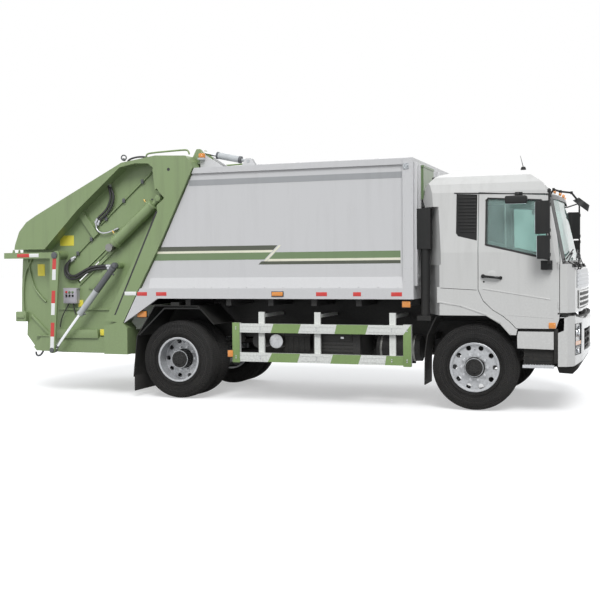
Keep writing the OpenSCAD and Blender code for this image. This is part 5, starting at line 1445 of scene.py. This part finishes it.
class TRUCK_OT_bumper(Build, bpy.types.Operator):
    """Lower grille, lamp insides, indicators, strips, blank plate and air dam of the bumper"""

    bl_idname = "truck.bumper"
    bl_label = "Bumper"

    def build(self, context):
        dark = [band(-0.655, 0.655, 0.718, 0.972, -0.044, 0.006, 20)]
        dark += [band(-0.655, 0.655, z - 0.007, z + 0.007, -0.022, 0.012, 20) for z in (0.765, 0.845, 0.925)]
        dark += [band(y - 0.010, y + 0.010, 0.718, 0.972, -0.034, 0.010, 2)
            for y in (-0.44, -0.22, 0.0, 0.22, 0.44)]
        assemble("lower_grille", dark, "moulded_plastic", "chassis")
        frames = []
        for z0, z1 in ((0.783, 0.797), (0.690, 0.698), (1.052, 1.060)):
            frames.append(band(-1.124, -0.841, z0, z1, -0.002, 0.012))
        for y in (-1.119, -0.846):
            frames.append(band(y - 0.005, y + 0.005, 0.690, 1.060, -0.002, 0.012, 2))
        assemble_pair("lamp_frames", frames, "gloss_black", "chassis")
        bowls = []
        for y, z, radius in ((-0.935, 0.955, 0.062), (-1.045, 0.955, 0.050), (-0.985, 0.738, 0.034)):
            x = on_bumper(y, z)[0]
            bowls.append(drum((x - 0.006, y, z), (x + 0.001, y, z), radius, 36, 0.002))
            bowls.append(drum((x - 0.002, y, z), (x + 0.006, y, z), radius * 0.42, 24, 0.003))
        assemble_pair("lamp_bowls", bowls, "hard_chrome", "chassis", "lamp_glass")
        amber = [band(-1.112, -0.855, 0.806, 0.850, -0.004, 0.008)]
        assemble_pair("indicators", amber, "amber_lens", "chassis")
        strip = [band(-1.19, 1.19, 1.128, 1.149, -0.016, 0.020, 36),
            band(-1.15, 1.15, 0.560, 0.584, -0.012, 0.016, 36)]
        assemble("bumper_strips", strip, "moulded_plastic", "chassis")
        plate = [band(-0.24, 0.24, 0.592, 0.694, 0.006, 0.006, 4)]
        assemble("front_plate", plate, "tape_white", "chassis", "cab_white")
        dam = [outline_plate([(3.600, 0.572), (3.635, 0.470), (3.790, 0.462), (3.855, 0.530), (3.860, 0.572)],
            -1.02, 1.02, 0.008)]
        dam += [slab((3.50, y - 0.05, 0.535), (3.64, y + 0.05, 0.575), 0.004) for y in (-0.9, 0.9)]
        assemble("air_dam", dam, "moulded_plastic", "chassis")


class TRUCK_OT_chassis_details(Build, bpy.types.Operator):
    """Spring clamps, straps, lids, shields and the storage box of the chassis"""

    bl_idname = "truck.chassis_details"
    bl_label = "Chassis details"

    def build(self, context):
        bolts = []
        for axle, half, low, top in ((FRONT_AXLE, 0.385, 0.36, 0.60), (REAR_AXLE, 0.499, 0.40, 0.80)):
            for dx in (-0.07, 0.07):
                for dy in (-0.048, 0.048):
                    y = -half + dy
                    bolts.append(drum((axle + dx, y, low), (axle + dx, y, top), 0.011, 12, 0.001))
                    bolts.append(drum((axle + dx, y, low + 0.01), (axle + dx, y, low + 0.035), 0.021, 6, 0.001))
        assemble_pair("spring_clamps", bolts, "spring_steel", "chassis", "spring_steel")
        end = [crossbar(0.1075, 0.79, -1.121, -1.128, 0.092, 40, 0.003),
            crossbar(0.1075, 0.79, -1.127, -1.132, 0.030, 24, 0.002)]
        assemble_pair("tank_ends", end, "bare_aluminium", "chassis")
        straps = [slab((x - 0.022, 0.489, 0.556), (x + 0.022, 1.134, 0.964), 0.003) for x in (0.50, 0.85, 0.98)]
        assemble("tank_straps", straps, "worn_steel", "chassis", "spring_steel")
        cap = [drum((0.62, 1.02, 0.958), (0.62, 1.02, 0.998), 0.052, 32, 0.006),
            drum((0.62, 1.02, 0.990), (0.62, 1.02, 1.006), 0.036, 8, 0.003)]
        assemble("tank_cap", cap, "gloss_black", "chassis")
        lid = [slab((0.607, -1.136, 0.868), (1.238, -0.462, 0.928), 0.010)]
        lid += [slab((x - 0.012, -1.142, 0.80), (x + 0.012, -1.126, 0.90), 0.003) for x in (0.72, 1.12)]
        lid += [slab((0.70, -1.134, 0.66 + 0.045 * i), (1.14, -1.128, 0.675 + 0.045 * i), 0.003)
            for i in range(4)]
        assemble("battery_lid", lid, "moulded_plastic", "chassis")
        mark = [slab((0.985, -1.146, 0.838), (1.025, -1.140, 0.862), 0.001)]
        assemble("battery_latch", mark, "bare_aluminium", "chassis")
        shields = []
        for x0, x1 in ((-0.42, 0.10), (0.115, 0.62), (0.635, 1.20), (1.215, 1.78)):
            shields.append(slab((x0, -0.412, 0.475), (x1, -0.400, 0.788), 0.004))
            shields += [slab((x - 0.012, -0.420, 0.490), (x + 0.012, -0.410, 0.780), 0.003)
                for x in steps(x0 + 0.05, x1 - 0.05, 3)]
        assemble_pair("inner_shields", shields, "moulded_plastic", "chassis")
        store = [slab((0.205, -1.085, 0.630), (0.560, -0.640, 0.895), 0.012),
            slab((0.200, -1.092, 0.852), (0.565, -0.640, 0.902), 0.008)]
        store += [slab((0.235 + 0.075 * i, -1.091, 0.655), (0.255 + 0.075 * i, -1.084, 0.835), 0.003)
            for i in range(5)]
        store += [slab((0.240, -0.645, 0.80), (0.525, -0.424, 0.86), 0.004)]
        assemble("storage_box", store, "moulded_plastic", "chassis")
        bar_edge = []
        edge = [(-1.827, 0.848), (-1.445, 1.208), (-0.916, 1.211)]
        for a, b in zip(edge, edge[1:]):
            bar_edge.append(drum((a[0], -1.226, a[1]), (b[0], -1.226, b[1]), 0.012, 14, 0.0))
        assemble_pair("arch_bars", bar_edge, "gloss_black", "chassis")
        clamps = [
            drum((x - 0.014, -0.665, 0.70), (x + 0.014, -0.665, 0.70), 0.169, 40, 0.003)
                for x in (1.42, 1.60, 1.84)
        ]
        assemble("silencer_clamps", clamps, "worn_steel", "chassis", "exhaust_dark")


CLASSES = [
    TRUCK_PG_colours,
    TRUCK_PG_sizes,
    TRUCK_OT_finishes,
    TRUCK_OT_stage,
    TRUCK_OT_tyres,
    TRUCK_OT_wheel_fittings,
    TRUCK_OT_stripes,
    TRUCK_OT_body_trim,
    TRUCK_OT_guards,
    TRUCK_OT_bin_lift,
    TRUCK_OT_cylinders,
    TRUCK_OT_hydraulics,
    TRUCK_OT_tailgate_trim,
    TRUCK_OT_cab_front,
    TRUCK_OT_cab_sides,
    TRUCK_OT_mirrors,
    TRUCK_OT_bumper,
    TRUCK_OT_chassis_details,
]


class TRUCK_PT_panel(bpy.types.Panel):
    """Steps that build the truck's looks"""

    bl_idname = "TRUCK_PT_panel"
    bl_label = "Garbage truck"
    bl_space_type = "VIEW_3D"
    bl_region_type = "UI"
    bl_category = "Garbage truck"

    def draw(self, context):
        for settings in (context.scene.truck_colours, context.scene.truck_sizes):
            for name in settings.__annotations__:
                self.layout.prop(settings, name)
        for step in CLASSES:
            if hasattr(step, "execute"):
                self.layout.operator(step.bl_idname)


def register():
    for cls in [*CLASSES, TRUCK_PT_panel]:
        bpy.utils.register_class(cls)
    bpy.types.Scene.truck_colours = PointerProperty(type=TRUCK_PG_colours)
    bpy.types.Scene.truck_sizes = PointerProperty(type=TRUCK_PG_sizes)


def unregister():
    del bpy.types.Scene.truck_colours
    del bpy.types.Scene.truck_sizes
    for cls in reversed([*CLASSES, TRUCK_PT_panel]):
        bpy.utils.unregister_class(cls)


def main():
    register()
    for step in CLASSES:
        if hasattr(step, "execute"):
            group, name = step.bl_idname.split(".")
            getattr(getattr(bpy.ops, group), name)()


if __name__ == "__main__":
    main()
